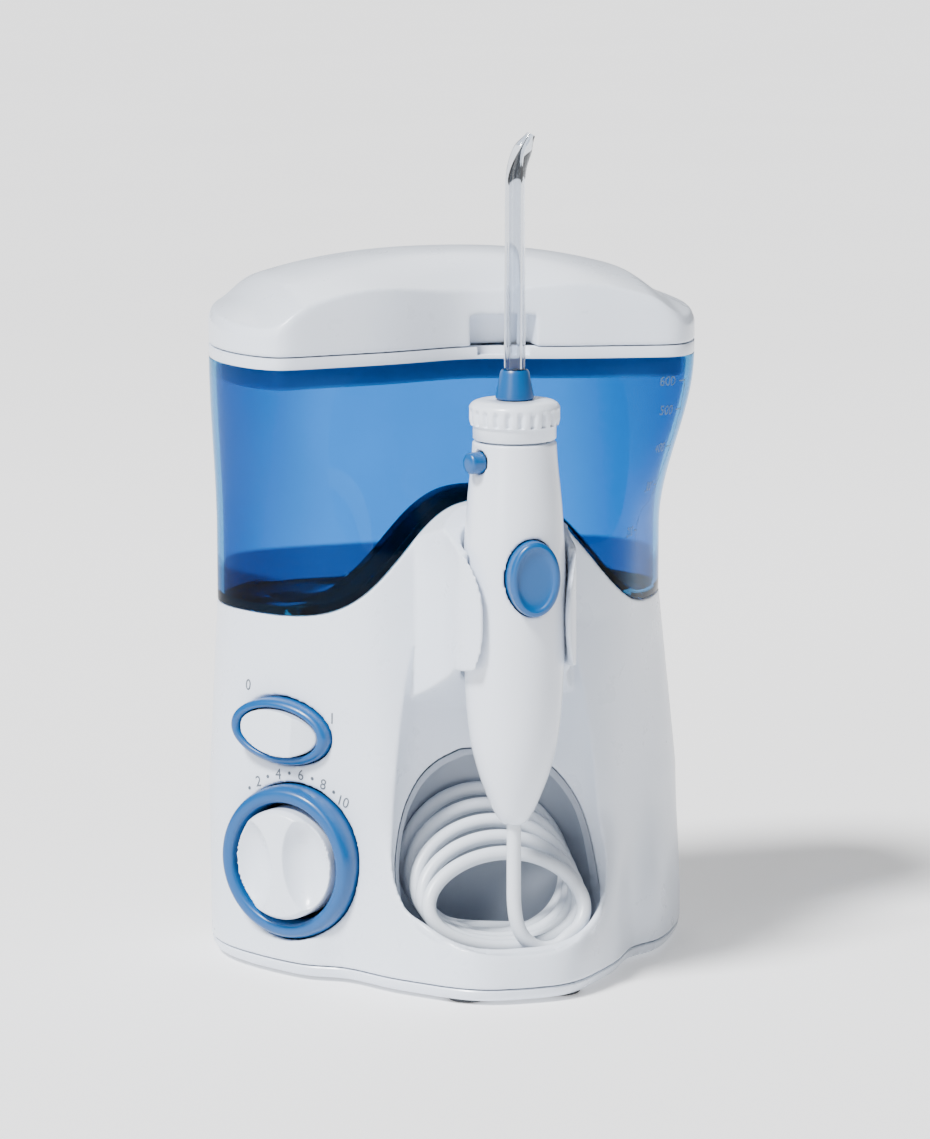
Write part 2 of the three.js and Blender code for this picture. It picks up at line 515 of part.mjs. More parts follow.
function handlePieces() {
  const bore = 11.2;
  const profile = [[0, handleBottomZ], ...handleProfile, [0, collarZ - 0.6]];
  const inner = [[0, 70], [8, 70], [bore, 82], [bore, 140], [9.6, 152], [9.6, collarZ + 4], [0, collarZ + 4]];
  const ejectHole = rod(3.4, 12, handleAxis(ejectZ).addScaledVector(ejectOut, 7), ejectOut, 16);
  const shell = cutBy(turned(profile, handleAxis(0), Z, 26), turned(inner, handleAxis(0), Z, 16),
    rod(2.9, 30, handleAxis(46), Z, 16), buttonOval(7.9, 11.2, 8, 30), ejectHole);
  addPiece('handle_body', shell, whitePlastic());
  const nippleFlange = tubeOf(6, 1.2, 2, handleAxis(70.6), Z, 16);
  const nipple = tubeOf(2.6, 1.2, 17, handleAxis(54.6), Z, 16).add(nippleFlange);
  addPiece('hose_nipple', nipple, innerPlastic());
  const stemPort = rod(3.2, 9, at(0, handleY - 9, buttonCentre.z), Y, 16);
  const waterWay = rod(2, 52, handleAxis(89), Z, 12);
  const tipSocket = rod(3.2, 8, handleAxis(134), Z, 12);
  const valveBlock = cutBy(rod(8.6, 50, handleAxis(90), Z, 20), waterWay, stemPort, tipSocket);
  addPiece('valve_block', valveBlock, innerPlastic());
  addPiece('supply_tube', tubeOf(3, 1.2, 16.4, handleAxis(73), Z, 12), innerPlastic());
  const button = cutBy(joined(buttonOval(7.5, 10.8, 11, 17.2), buttonOval(6.9, 10.2, 17, 18)),
    buttonOval(5.8, 9, 17.2, 20));
  addPiece('pause_button', button, bluePlastic());
  addPiece('pause_valve_stem', rod(2.6, 7.8, at(0, handleY - 10.7, buttonCentre.z), Y, 12), steel());
  const eject = joined(rod(3.1, 3.6, handleAxis(ejectZ).addScaledVector(ejectOut, 11.7), ejectOut),
    rod(3.1, 1.1, handleAxis(ejectZ).addScaledVector(ejectOut, 15.2), ejectOut, 18, 2.1));
  addPiece('eject_button', eject, bluePlastic());
  const latchSplit = block(at(-3, handleY + 2, latchZ - 1), at(3, handleY + 12, latchZ + 5));
  addPiece('tip_latch', tubeOf(8.9, 5.6, 3.4, handleAxis(latchZ)).subtract(latchSplit), steel());
  collarAndTip();
}

function collarAndTip() {
  const fluted = [];
  const flutes = 22;
  for (let i = 0; i < flutes * 2; i += 1) {
    const angle = (i / (flutes * 2)) * 2 * Math.PI;
    const radius = i % 2 === 0 ? 12 : 13;
    fluted.push([radius * Math.cos(angle), handleY + radius * Math.sin(angle)]);
  }
  const band = extrudeZ(fluted, 167, 171.4);
  const top = turned([[0, 171], [12.9, 171], [12.4, 172.8], [10.8, 174], [0, 174]], handleAxis(0), Z, 22);
  const skirt = rod(11.9, 5, handleAxis(collarZ), Z, 22);
  const spigot = rod(9, 8, handleAxis(collarZ - 5));
  const bore = rod(4.4, 30, handleAxis(150), Z, 16);
  addPiece('collar', joined(skirt, band, top, spigot).subtract(bore), whitePlastic());
  const ringProfile = [[0, 150.5], [3.9, 150.5], [3.9, ringZ], [5.5, ringZ], [5.5, ringZ + 0.8], [4, 182.6],
    [0, 182.6]];
  const stemRing = turned(ringProfile, handleAxis(0), Z, 20);
  addPiece('tip_ring', stemRing.subtract(rod(3.4, 60, handleAxis(140), Z, 14)), bluePlastic());
  addPiece('jet_tip', jetTip(), clearPlastic());
}

// The tip's centre line: straight up, then bent over to +X at the top.
const tipRoute = [handleAxis(152), handleAxis(180), handleAxis(210), handleAxis(232), at(0.4, handleY, 239),
  at(2, handleY, 244.2), at(4.7, handleY, 249.1)];
const tipLine = new THREE.CatmullRomCurve3(tipRoute, false, 'centripetal');

function taperedTube(line, steps, radiusAt, sides) {
  const rings = [];
  for (let i = 0; i <= steps; i += 1) {
    const t = i / steps;
    const along = line.getTangentAt(t);
    const across = new THREE.Vector3().crossVectors(Y, along).normalize();
    rings.push(Array.from({ length: sides }, (_, j) => {
      const angle = (j / sides) * 2 * Math.PI;
      return line.getPointAt(t).addScaledVector(across, radiusAt(t) * Math.cos(angle))
        .addScaledVector(Y, radiusAt(t) * Math.sin(angle));
    }));
  }
  return toSolid(loft(rings));
}

function jetTip() {
  const outer = taperedTube(tipLine, 16, (t) => 3.15 - 0.35 * t - 1.5 * smooth(0.93, 1, t), 12);
  const bore = (t) => 1.7 - 1.2 * smooth(0.84, 0.97, t);
  const inner = taperedTube(tipLine, 16, bore, 8);
  const mouth = rod(0.5, 4, at(4.1, handleY, 247.9), at(0.49, 0, 0.87), 8);
  return cutBy(outer, inner, rod(1.7, 4, handleAxis(150), Z, 8), mouth);
}

// ---------------------------------------------------------------- hose
// The hose lies in the well as a coil that leans back. Every turn rests on the floor, turn 0 leans on the
// back wall and each one in front of it is lower. These are the places of a turn's four quarters.
const coilBack = (turn) => at(1.5, -4.6 - 6.7 * turn, 52.6 - 3.43 * turn);
const coilLeft = (turn) => at(0.25 * turn - 24, -15 - 5.85 * turn, 31.4 - 1.7 * turn);
const coilFoot = (turn) => at(1.5, -23.9 - 5 * turn, hoseFloorZ);
const coilRight = (turn) => at(24.3 - 0.3 * turn, -15 - 5.85 * turn, 31.4 - 1.7 * turn);

// A point of the coil: angle 0 is at the back wall and a quarter turn is at the right.
function coilPoint(turn, angle, outward) {
  const [back, left, foot, right] = [coilBack, coilLeft, coilFoot, coilRight].map((place) => place(turn));
  const middle = back.clone().add(foot).add(left).add(right).multiplyScalar(0.25);
  const twist = back.clone().add(foot).sub(left).sub(right).multiplyScalar(0.25);
  const point = middle.clone().addScaledVector(back.clone().sub(foot), Math.cos(angle) / 2)
    .addScaledVector(right.clone().sub(left), Math.sin(angle) / 2)
    .addScaledVector(twist, Math.cos(2 * angle));
  return point.addScaledVector(point.clone().sub(middle).normalize(), outward);
}

function hoseCoil() {
  const radius = 20; // of the plain drum that is bent to the coil's shape
  const [low, middle, high] = [0.2, 1.9, 3.7]; // first and last turn of the coil's body
  const [inner, outer] = [radius - hoseRadius, radius + hoseRadius];
  const section = [[inner, low], [inner, middle], [inner, high], [outer, high], [outer, middle], [outer, low],
    [inner, low]];
  const shape = new THREE.LatheGeometry(corners2(section), 28);
  const position = shape.attributes.position;
  for (let i = 0; i < position.count; i += 1) {
    const [x, z] = [position.getX(i), position.getZ(i)];
    const point = coilPoint(position.getY(i), Math.atan2(x, z), Math.hypot(x, z) - radius);
    position.setXYZ(i, point.x, point.y, point.z);
  }
  return toSolid(shape);
}

const sweptTube = (points, steps, radius = hoseRadius) => {
  const section = new THREE.Shape().absarc(0, 0, radius, 0, 2 * Math.PI);
  const path = new THREE.CatmullRomCurve3(points, false, 'centripetal');
  const settings = { steps, curveSegments: 5, bevelEnabled: false, extrudePath: path };
  return toSolid(new THREE.ExtrudeGeometry(section, settings));
};

// Hand-placed route of the part of the hose that isn't coiled.
const hoseLead = [at(24.6, hoseLeadY, hoseFloorZ), at(18, -20.8, hoseFloorZ), at(11, -21.4, hoseFloorZ),
  at(5, -22.2, hoseFloorZ)];
const hoseDrop = [at(16.5, -45, 16), at(12.6, -45.7, 13.6), at(7.8, -45.9, 13.5), at(3.4, -45.9, 16.4),
  at(1, -45.8, 21), at(0.1, -45.6, 27), handleAxis(34), handleAxis(42), handleAxis(handleBottomZ + 3.2)];

function hosePieces() {
  addPiece('hose_lead', sweptTube(hoseLead, 5), whitePlastic());
  addPiece('hose_coil', hoseCoil(), whitePlastic());
  addPiece('hose_drop', sweptTube(hoseDrop, 14), whitePlastic());
  const gland = joined(rod(3.1, 8, at(25, hoseLeadY, hoseFloorZ), X, 12),
    rod(4.6, 1.4, at(32.6, hoseLeadY, hoseFloorZ), X, 12));
  addPiece('hose_gland', gland, innerPlastic());
}

// ---------------------------------------------------------------- pump inside the base
const gearModule = 1;
const gearTeeth = 32;
const pinionTeeth = 8;
const pumpY = 33;
const motorZ = 38;
const gearZ = motorZ + (gearModule * (gearTeeth + pinionTeeth)) / 2;
const crankThrow = 3;

// A spur gear round an X axis, with plain flanks thinner than the tooth spaces.
function spurGear(teeth, turn, centre, thickness) {
  const pitch = (gearModule * teeth) / 2;
  const step = (2 * Math.PI) / teeth;
  const outline = [];
  for (let i = 0; i < teeth; i += 1) {
    const angle = turn + i * step;
    [[-0.3, -1.05], [-0.12, 0.75], [0.12, 0.75], [0.3, -1.05]].forEach(([offset, rise]) => {
      const radius = pitch + rise * gearModule;
      const side = angle + offset * step;
      outline.push([centre.y + radius * Math.cos(side), centre.z + radius * Math.sin(side)]);
    });
  }
  return extrudeX(outline, centre.x, centre.x + thickness);
}

function motorPieces() {
  const onMotor = (x) => at(x, pumpY, motorZ);
  const onGear = (x) => at(x, pumpY, gearZ);
  const can = cutBy(rod(17, 40, onMotor(9), X, 24), rod(15.6, 40, onMotor(10.4), X, 24),
    rod(3.4, 8, onMotor(6), X, 12));
  addPiece('motor_can', can, steel());
  const endCap = rod(15, 2.4, onMotor(46.5), X, 24).subtract(rod(3, 1.4, onMotor(46), X, 12));
  addPiece('motor_end_cap', endCap, innerPlastic());
  const pinion = spurGear(pinionTeeth, 0, onMotor(-5.2), 5);
  const rotor = joined(rod(12.4, 28, onMotor(14), X, 18), rod(1.5, 52, onMotor(-5.4), X, 12), pinion);
  addPiece('motor_rotor', rotor, steel());
  const crankPin = rod(2.2, 11.6, at(-16.4, pumpY + crankThrow, gearZ), X, 12);
  const wheel = spurGear(gearTeeth, Math.PI / gearTeeth, onGear(-5), 4.6);
  const gear = joined(wheel, crankPin, rod(4, 3, onGear(-1), X, 16));
  addPiece('drive_gear', gear.subtract(rod(2.1, 20, onGear(-8), X, 16)), innerPlastic());
  const frame = joined(block(at(4.4, pumpY - 19, 4), at(8.6, pumpY + 19, gearZ + 8)),
    block(at(4.4, pumpY - 19, 4), at(34, pumpY + 19, 15.4)));
  const screwClearance = screwPlaces.map(([x, y]) => rod(4.2, 40, at(x, y, 0), Z, 12));
  addPiece('pump_frame', cutBy(frame, rod(17.4, 60, onMotor(8.7), X, 24), rod(6, 10, onMotor(2), X),
    rod(1.85, 12, onGear(2), X, 16), ...screwClearance), innerPlastic());
  addPiece('gear_axle', rod(1.6, 13.4, onGear(-4.8), X, 16), steel());
}

const pumpX = -14; // the cylinder's axis
const wristZ = 26;
const bigEndHole = 8.7; // wide enough for the crank pin to swing inside it

function pumpPieces() {
  const rodX = pumpX - 2;
  const onPump = (z, offset = 0) => at(pumpX + offset, pumpY, z);
  const wristHole = (radius) => rod(radius, 20, onPump(wristZ, -10), X, 12);
  const bigEnd = tubeOf(11.2, bigEndHole, 4, at(rodX, pumpY, gearZ), X, 20);
  const shank = block(at(rodX, pumpY - 2, wristZ), at(rodX + 4, pumpY + 2, gearZ - 10.2));
  const smallEnd = rod(3.4, 4, at(rodX, pumpY, wristZ), X, 16);
  addPiece('connecting_rod', joined(bigEnd, shank, smallEnd).subtract(wristHole(1.5)), innerPlastic());
  const rodSlot = block(at(rodX - 0.4, pumpY - 4.2, 21.8), at(rodX + 4.4, pumpY + 4.2, 40));
  addPiece('piston', cutBy(rod(7, 14, onPump(19)), rodSlot, wristHole(1.5)), innerPlastic());
  addPiece('wrist_pin', rod(1.2, 12.6, onPump(wristZ, -6.3), X, 12), steel());
  addPiece('piston_seal', tubeOf(7.28, 5, 1.8, onPump(16.9)), darkRubber());
  const bracket = block(at(pumpX - 9, pumpY - 9, 12), at(pumpX + 12.6, pumpY + 9, 15));
  const barrel = joined(rod(10, 21, onPump(12), Z, 20), bracket);
  const ports = [-4, 4].map((offset) => rod(1.8, 6, onPump(10, offset), Z, 10));
  addPiece('pump_cylinder', cutBy(barrel, rod(7.6, 30, onPump(13.4), Z, 20), ...ports), innerPlastic());
  const ballSeats = [-4, 4].map((offset) => rod(2.4, 3, onPump(9, offset), Z, 12));
  const channels = [rod(1.4, 9, onPump(8.2, -13), X, 10), rod(1.4, 9, onPump(8.2, 4), X, 10)];
  const headBlock = block(at(pumpX - 12, pumpY - 9, 5), at(pumpX + 12, pumpY + 9, 11.7));
  addPiece('pump_head', cutBy(headBlock, ...ballSeats, ...channels), innerPlastic());
  [-4, 4].forEach((offset, i) => {
    const ball = new THREE.SphereGeometry(1.1, 8, 6).translate(pumpX + offset, pumpY, 10.5);
    addPiece(['inlet_check_ball', 'outlet_check_ball'][i], toSolid(ball), steel());
  });
}

// Soft water tubes: tank valve to pump, pump to pressure regulator, regulator to the hose.
function waterTubes() {
  const inlet = [onSeat(deckZ - 8.3), at(-21.5, 41, 90), at(-30, 42, 72), at(-37, 40, 45), at(-38, 36, 20),
    at(-34, 33.6, 10), at(-30.4, pumpY, 8.2), at(-26.3, pumpY, 8.2)];
  const outlet = [at(-1.7, pumpY, 8.2), at(-1.1, pumpY, 8.2), at(1.6, 30.6, 8.2), at(1.8, 25, 8.2),
    at(-1, 19.6, 8.6), at(-10, 16.6, 9.4), at(-22, 16, 13), at(-28, 16, 22), at(-31, 16, 31),
    onFlank(dialCentre, 0, 0, regulatorBack - 3), onFlank(dialCentre, 0, 0, regulatorBack - 0.4)];
  const pressure = [at(-40, 8.3, 26.2), at(-39.4, 8.3, 17), at(-34, 8, 9.6), at(-20, 7, 8.4),
    at(10, 6.6, 8.4), at(34, 3, 8.4), at(42, -9, 9.6), at(40.6, -18.6, 12.6), at(36.4, hoseLeadY, hoseFloorZ),
    at(34.4, hoseLeadY, hoseFloorZ)];
  addPiece('inlet_tube', sweptTube(inlet, 14, 2.4), clearPlastic());
  addPiece('outlet_tube', sweptTube(outlet, 12, 2), clearPlastic());
  addPiece('pressure_tube', sweptTube(pressure, 16, 2), clearPlastic());
}

// ---------------------------------------------------------------- assembly
basePieces();
tankPieces();
lidPieces();
handlePieces();
dialPieces();
switchPieces();
hosePieces();
motorPieces();
pumpPieces();
waterTubes();

export default flosser;
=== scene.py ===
import json
import math

import bmesh
import bpy
import numpy as np
from mathutils import Matrix, Vector


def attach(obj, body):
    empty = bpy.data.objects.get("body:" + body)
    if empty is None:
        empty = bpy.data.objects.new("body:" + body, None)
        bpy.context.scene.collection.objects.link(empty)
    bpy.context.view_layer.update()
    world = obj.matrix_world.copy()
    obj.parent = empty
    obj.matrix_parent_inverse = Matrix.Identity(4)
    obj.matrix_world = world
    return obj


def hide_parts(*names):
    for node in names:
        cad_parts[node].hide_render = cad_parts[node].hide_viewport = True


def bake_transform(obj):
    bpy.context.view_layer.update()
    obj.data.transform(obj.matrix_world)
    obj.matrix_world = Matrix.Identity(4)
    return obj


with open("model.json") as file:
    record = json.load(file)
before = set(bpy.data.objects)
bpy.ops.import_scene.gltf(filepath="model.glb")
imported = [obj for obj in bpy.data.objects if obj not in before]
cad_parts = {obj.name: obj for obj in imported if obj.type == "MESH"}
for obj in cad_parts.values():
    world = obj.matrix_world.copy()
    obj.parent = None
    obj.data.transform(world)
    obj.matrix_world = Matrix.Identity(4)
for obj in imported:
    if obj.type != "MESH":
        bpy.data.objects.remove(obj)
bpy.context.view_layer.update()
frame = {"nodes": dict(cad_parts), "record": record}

# A countertop water flosser. Lengths in this script are millimetres, in the CAD frame: +Z up, front at -Y.
# They become metres where a mesh is made.
MM = 0.001
GAP = 0.3
WALL = 2.4
SEAM_Z = 4.6
DECK_Z = 105.5
RIM_Z = 180.0
LID_TRAY_TOP_Z = 183.6
LID_CROWN_Z = 210.6
LID_SIDE_Z = 196.0
TANK_WALL = 2.0
TANK_FLOOR_Z = 108.5
TOWER_TOP_Z = 125.0
CORE_TOP_Z = 147.0
WAIST_Z = 52.0
WAVE_RISE = 36
WAVE_HALF_WIDTH = 34.5
WAVE_SHARPNESS = 2.9
HANDLE_Y = -45.5
HANDLE_BOTTOM_Z = 51.0
COLLAR_Z = 162.8
RING_Z = 174.3
HOSE_DIAMETER = 4.2
DIAL_CENTRE = Vector((-56.3, -6.4, 34.6))
SWITCH_CENTRE = Vector((-57.2, -0.8, 72.5))
FLANK_ANGLE = math.radians(48)
DIAL_TURN = math.radians(6)
SWITCH_ROLL = math.radians(-4)


# -------------------- curves and rings
def smooth_step(low, high, value):
    t = min(max((value - low) / (high - low), 0.0), 1.0)
    return t * t * (3 - 2 * t)


def rounded_path(points, steps):
    """A Catmull-Rom line through points of any dimension, with steps pieces between neighbours."""
    line = np.array(points, float)
    line = np.vstack([2 * line[0] - line[1], line, 2 * line[-1] - line[-2]])
    out = []
    for i in range(1, len(line) - 2):
        a, b, c, d = line[i - 1:i + 3]
        for t in np.arange(steps) / steps:
            out.append(0.5 * (2 * b + (c - a) * t + (2 * a - 5 * b + 4 * c - d) * t ** 2
                              + (3 * b - a - 3 * c + d) * t ** 3))
    return np.array(out + [line[-2]])


def resampled(line, count):
    """The same line with count evenly spaced points."""
    line = np.array(line, float)
    along = np.concatenate([[0], np.cumsum(np.linalg.norm(np.diff(line, axis=0), axis=1))])
    wanted = np.linspace(0, along[-1], count)
    return np.column_stack([np.interp(wanted, along, line[:, k]) for k in range(line.shape[1])])


def round_angles(count):
    """Evenly spaced angles of one full turn, from zero."""
    return [2 * math.pi * i / count for i in range(count)]


def in_scene(name, data):
    """A new object that holds the data, put in the scene."""
    obj = bpy.data.objects.new(name, data)
    bpy.context.scene.collection.objects.link(obj)
    return obj


# -------------------- camera
def add_camera():
    """The photograph's viewpoint: a little left of the front and a little above, with a long lens."""
    turn, pitch, distance, height = math.radians(16), math.radians(9.6), 1346.0, 344.2
    side_step = 0.38
    place = Vector((-distance * math.sin(turn) + side_step * math.cos(turn),
                    7 - distance * math.cos(turn) - side_step * math.sin(turn), height))
    forward = Vector((math.sin(turn) * math.cos(pitch), math.cos(turn) * math.cos(pitch), -math.sin(pitch)))
    camera = in_scene("camera", bpy.data.cameras.new("camera"))
    camera.location = place * MM
    camera.rotation_euler = forward.to_track_quat("-Z", "Y").to_euler()
    camera.data.lens = 145.4
    camera.data.sensor_width = 36
    bpy.context.scene.camera = camera


add_camera()


# -------------------- meshes
def make_mesh(name, points, faces):
    mesh = bpy.data.meshes.new(name)
    mesh.from_pydata([tuple(float(v) * MM for v in point) for point in points], [], faces)
    mesh.update()
    return in_scene(name, mesh)


def loft(name, rings, closed=False):
    """A skin over rings of equal count, lowest first, each counter-clockwise from above.

    A closed loft joins the last ring to the first instead of capping both ends.
    """
    count = len(rings[0])
    points = [point for ring in rings for point in ring]
    faces = []
    pairs = len(rings) if closed else len(rings) - 1
    for level in range(pairs):
        low, high = level * count, (level + 1) % len(rings) * count
        for i in range(count):
            j = (i + 1) % count
            faces.append((low + i, low + j, high + j, high + i))
    if not closed:
        faces.append(tuple(range(count))[::-1])
        faces.append(tuple(range((len(rings) - 1) * count, len(rings) * count)))
    return make_mesh(name, points, faces)


def lathe(name, profile, sides=96):
    """A turned piece about Z from [radius, height] pairs.

    A profile that starts and ends on the axis is capped there; any other profile is a closed loop.
    """
    on_axis = profile[0][0] < 1e-6
    rings = []
    for radius, height in profile[1:-1] if on_axis else profile:
        rings.append([(radius * math.cos(a), radius * math.sin(a), height) for a in round_angles(sides)])
    return loft(name, rings, closed=not on_axis)


def round_corners(profile, radius, steps=4):
    """A closed or axis-to-axis profile with its corners rounded off."""
    points = [Vector(p) for p in profile]
    out = [points[0]]
    for before, corner, after in zip(points, points[1:], points[2:]):
        reach = min(radius, (before - corner).length * 0.45, (after - corner).length * 0.45)
        start = corner + (before - corner).normalized() * reach
        end = corner + (after - corner).normalized() * reach
        for step in range(steps + 1):
            t = step / steps
            out.append(start * (1 - t) ** 2 + corner * 2 * t * (1 - t) + end * t ** 2)
    return [tuple(p) for p in out + [points[-1]]]


def ring_profile(corners, radius, steps=4):
    """Rounds every corner of a closed loop of [radius, height] pairs."""
    wrapped = round_corners([corners[-1]] + list(corners) + [corners[0]], radius, steps)
    return wrapped[1:-1]


def prism(name, outline, low, high, axis):
    """An outline carried along an axis: X takes (y, z) pairs, Y takes (x, z) and Z takes (x, y)."""
    order = {"X": (2, 0, 1), "Y": (0, 2, 1), "Z": (0, 1, 2)}[axis]
    rings = [[tuple((u, v, w)[k] for k in order) for u, v in outline] for w in (low, high)]
    return outward(loft(name, rings))


def outward(obj):
    """Turns all faces of a closed mesh to the outside."""
    form = bmesh.new()
    form.from_mesh(obj.data)
    bmesh.ops.recalc_face_normals(form, faces=form.faces)
    form.to_mesh(obj.data)
    form.free()
    return obj


def block(name, low, high):
    (x0, y0, z0), (x1, y1, z1) = low, high
    return prism(name, [(x0, y0), (x1, y0), (x1, y1), (x0, y1)], z0, z1, "Z")


def moved(obj, matrix):
    """Moves the mesh itself; translations in the matrix are millimetres."""
    scaled = matrix.copy()
    scaled.translation = matrix.translation * MM
    obj.data.transform(scaled)
    return obj


def stood(obj, start, axis=(0, 0, 1)):
    """Turns a piece that was made along Z to an axis and moves its foot to start."""
    turn = Vector((0, 0, 1)).rotation_difference(Vector(axis)).to_matrix().to_4x4()
    return moved(obj, Matrix.Translation(Vector(start)) @ turn)


def rod(name, radius, length, start, axis=(0, 0, 1), sides=48):
    return stood(lathe(name, [(0, 0), (radius, 0), (radius, length), (0, length)], sides), start, axis)


def tube_round(name, outer, inner, length, start):
    """An upright round tube with softly rounded ends."""
    loop = ring_profile([(inner, 0), (outer, 0), (outer, length), (inner, length)], 0.3)
    return stood(lathe(name, loop, 64), start)


def bake(obj):
    """Puts the result of the modifiers into the mesh."""
    graph = bpy.context.evaluated_depsgraph_get()
    result = bpy.data.meshes.new_from_object(obj.evaluated_get(graph))
    old = obj.data
    obj.modifiers.clear()
    obj.data = result
    bpy.data.meshes.remove(old)
    return obj


def combine(target, operation, *tools):
    for tool in tools:
        modifier = target.modifiers.new("combine", "BOOLEAN")
        modifier.operation = operation
        modifier.solver = "MANIFOLD"
        modifier.object = tool
    bake(target)
    for tool in tools:
        bpy.data.objects.remove(tool)
    return target


def cut(target, *tools):
    return combine(target, "DIFFERENCE", *tools)


def join(target, *tools):
    return combine(target, "UNION", *tools)


def overlap(target, *tools):
    return combine(target, "INTERSECT", *tools)


def soften(obj, voxel, rounds):
    """Rebuilds a joined form as one fine skin and rounds its edges, as a mould leaves them."""
    remesh = obj.modifiers.new("skin", "REMESH")
    remesh.mode = "VOXEL"
    remesh.voxel_size = voxel * MM
    relax = obj.modifiers.new("rounded", "SMOOTH")
    relax.factor = 0.5
    relax.iterations = rounds
    bake(obj)
    obj.data.shade_smooth()
    return obj


def smooth_shaded(obj, degrees=35):
    obj.data.shade_smooth()
    obj.data.set_sharp_from_angle(angle=math.radians(degrees))
    return obj


def bevelled(obj, width, segments=2, degrees=35):
    modifier = obj.modifiers.new("edges", "BEVEL")
    modifier.width = width * MM
    modifier.segments = segments
    modifier.limit_method = "ANGLE"
    modifier.angle_limit = math.radians(degrees)
    bake(obj)
    return smooth_shaded(obj)


def swept_tube(name, line, radius, sides=16):
    """A tube round a line of points; radius is a number or a function of the place from 0 to 1."""
    line = np.array(line, float)
    tangents = np.gradient(line, axis=0)
    tangents /= np.linalg.norm(tangents, axis=1)[:, None]
    across = np.cross(tangents[0], [0.0, 1.0, 0.0] if abs(tangents[0][1]) < 0.8 else [1.0, 0.0, 0.0])
    rings = []
    for i, (point, tangent) in enumerate(zip(line, tangents)):
        across = across - tangent * np.dot(across, tangent)
        across /= np.linalg.norm(across)
        other = np.cross(tangent, across)
        size = radius(i / (len(line) - 1)) if callable(radius) else radius
        rings.append([tuple(point + size * (math.cos(a) * across + math.sin(a) * other))
                      for a in round_angles(sides)])
    return smooth_shaded(outward(loft(name, rings)), 50)


def settle(obj, body, nodes, material):
    """Gives a finished piece its body, the CAD nodes it stands for and its look.

    A piece that bends between two bodies comes with no body of its own.
    """
    if body:
        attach(obj, body)
    if nodes:
        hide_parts(*nodes)
    obj.data.materials.clear()
    obj.data.materials.append(material)


# -------------------- materials
def new_material(name):
    material = bpy.data.materials.new(name)
    material.use_nodes = True
    tree = material.node_tree
    shader = tree.nodes["Principled BSDF"]
    return material, tree, shader


def set_inputs(node, values):
    for name, value in values.items():
        node.inputs[name].default_value = value


def noise(tree, scale, detail=3.0, roughness=0.5):
    """Noise over the piece's own place in the frame, in features per metre."""
    place = tree.nodes.new("ShaderNodeTexCoord")
    texture = tree.nodes.new("ShaderNodeTexNoise")
    set_inputs(texture, {"Scale": scale, "Detail": detail, "Roughness": roughness})
    tree.links.new(place.outputs["Object"], texture.inputs["Vector"])
    return texture.outputs["Fac"]


def ramp(tree, source, low, high):
    """Maps the middle of a noise value's spread onto a range of numbers."""
    span = tree.nodes.new("ShaderNodeMapRange")
    set_inputs(span, {"From Min": 0.35, "From Max": 0.65, "To Min": low, "To Max": high})
    tree.links.new(source, span.inputs["Value"])
    return span.outputs["Result"]


def colour_drift(tree, colour, amount, scale=14.0):
    """The colour, drifting slightly lighter and darker over the piece."""
    mix = tree.nodes.new("ShaderNodeMix")
    mix.data_type = "RGBA"
    darker = [c * (1 - amount) for c in colour]
    lighter = [min(c * (1 + amount), 1) for c in colour]
    set_inputs(mix, {"A": (*darker, 1), "B": (*lighter, 1)})
    tree.links.new(ramp(tree, noise(tree, scale, 2.0), 0.0, 1.0), mix.inputs["Factor"])
    return mix.outputs["Result"]


def add_bump(tree, shader, height, strength, distance):
    bump = tree.nodes.new("ShaderNodeBump")
    set_inputs(bump, {"Strength": strength, "Distance": distance * MM})
    tree.links.new(height, bump.inputs["Height"])
    tree.links.new(bump.outputs["Normal"], shader.inputs["Normal"])


def moulded(name, colour, roughness, grain=1400.0, bump=0.25, drift=0.02, coat=0.0, glow=0.0):
    """Moulded plastic: a fine grain, a faint drift of colour, and gloss that varies with handling."""
    material, tree, shader = new_material(name)
    tree.links.new(colour_drift(tree, colour, drift), shader.inputs["Base Color"])
    handled = ramp(tree, noise(tree, 70.0, 4.0, 0.6), roughness * 0.88, roughness * 1.14)
    tree.links.new(handled, shader.inputs["Roughness"])
    set_inputs(shader, {"IOR": 1.5, "Coat Weight": coat, "Coat Roughness": 0.12,
                        "Subsurface Weight": glow, "Subsurface Radius": (0.004, 0.004, 0.004)})
    add_bump(tree, shader, noise(tree, grain, 5.0, 0.6), bump, 0.02)
    return material


def metal(name, colour, roughness):
    """Drawn or turned steel with fine lines along one direction."""
    material, tree, shader = new_material(name)
    place = tree.nodes.new("ShaderNodeTexCoord")
    mapping = tree.nodes.new("ShaderNodeMapping")
    mapping.inputs["Scale"].default_value = (900, 60, 60)
    lines = tree.nodes.new("ShaderNodeTexNoise")
    set_inputs(lines, {"Scale": 3.0, "Detail": 6.0})
    tree.links.new(place.outputs["Object"], mapping.inputs["Vector"])
    tree.links.new(mapping.outputs["Vector"], lines.inputs["Vector"])
    tree.links.new(colour_drift(tree, colour, 0.05, 40.0), shader.inputs["Base Color"])
    streaks = ramp(tree, lines.outputs["Fac"], roughness * 0.7, roughness * 1.4)
    tree.links.new(streaks, shader.inputs["Roughness"])
    shader.inputs["Metallic"].default_value = 1.0
    add_bump(tree, shader, lines.outputs["Fac"], 0.3, 0.02)
    return material


def see_through(name, colour, roughness, ior, drift=0.04, ripple=0.12):
    """Clear or tinted moulded plastic with faint flow ripples from the mould."""
    material, tree, shader = new_material(name)
    tree.links.new(colour_drift(tree, colour, drift, 20.0), shader.inputs["Base Color"])
    haze = ramp(tree, noise(tree, 50.0, 4.0), roughness * 0.7, roughness * 1.3)
    tree.links.new(haze, shader.inputs["Roughness"])
    set_inputs(shader, {"Transmission Weight": 1.0, "IOR": ior})
    add_bump(tree, shader, noise(tree, 45.0, 2.0), ripple, 0.25)
    return material


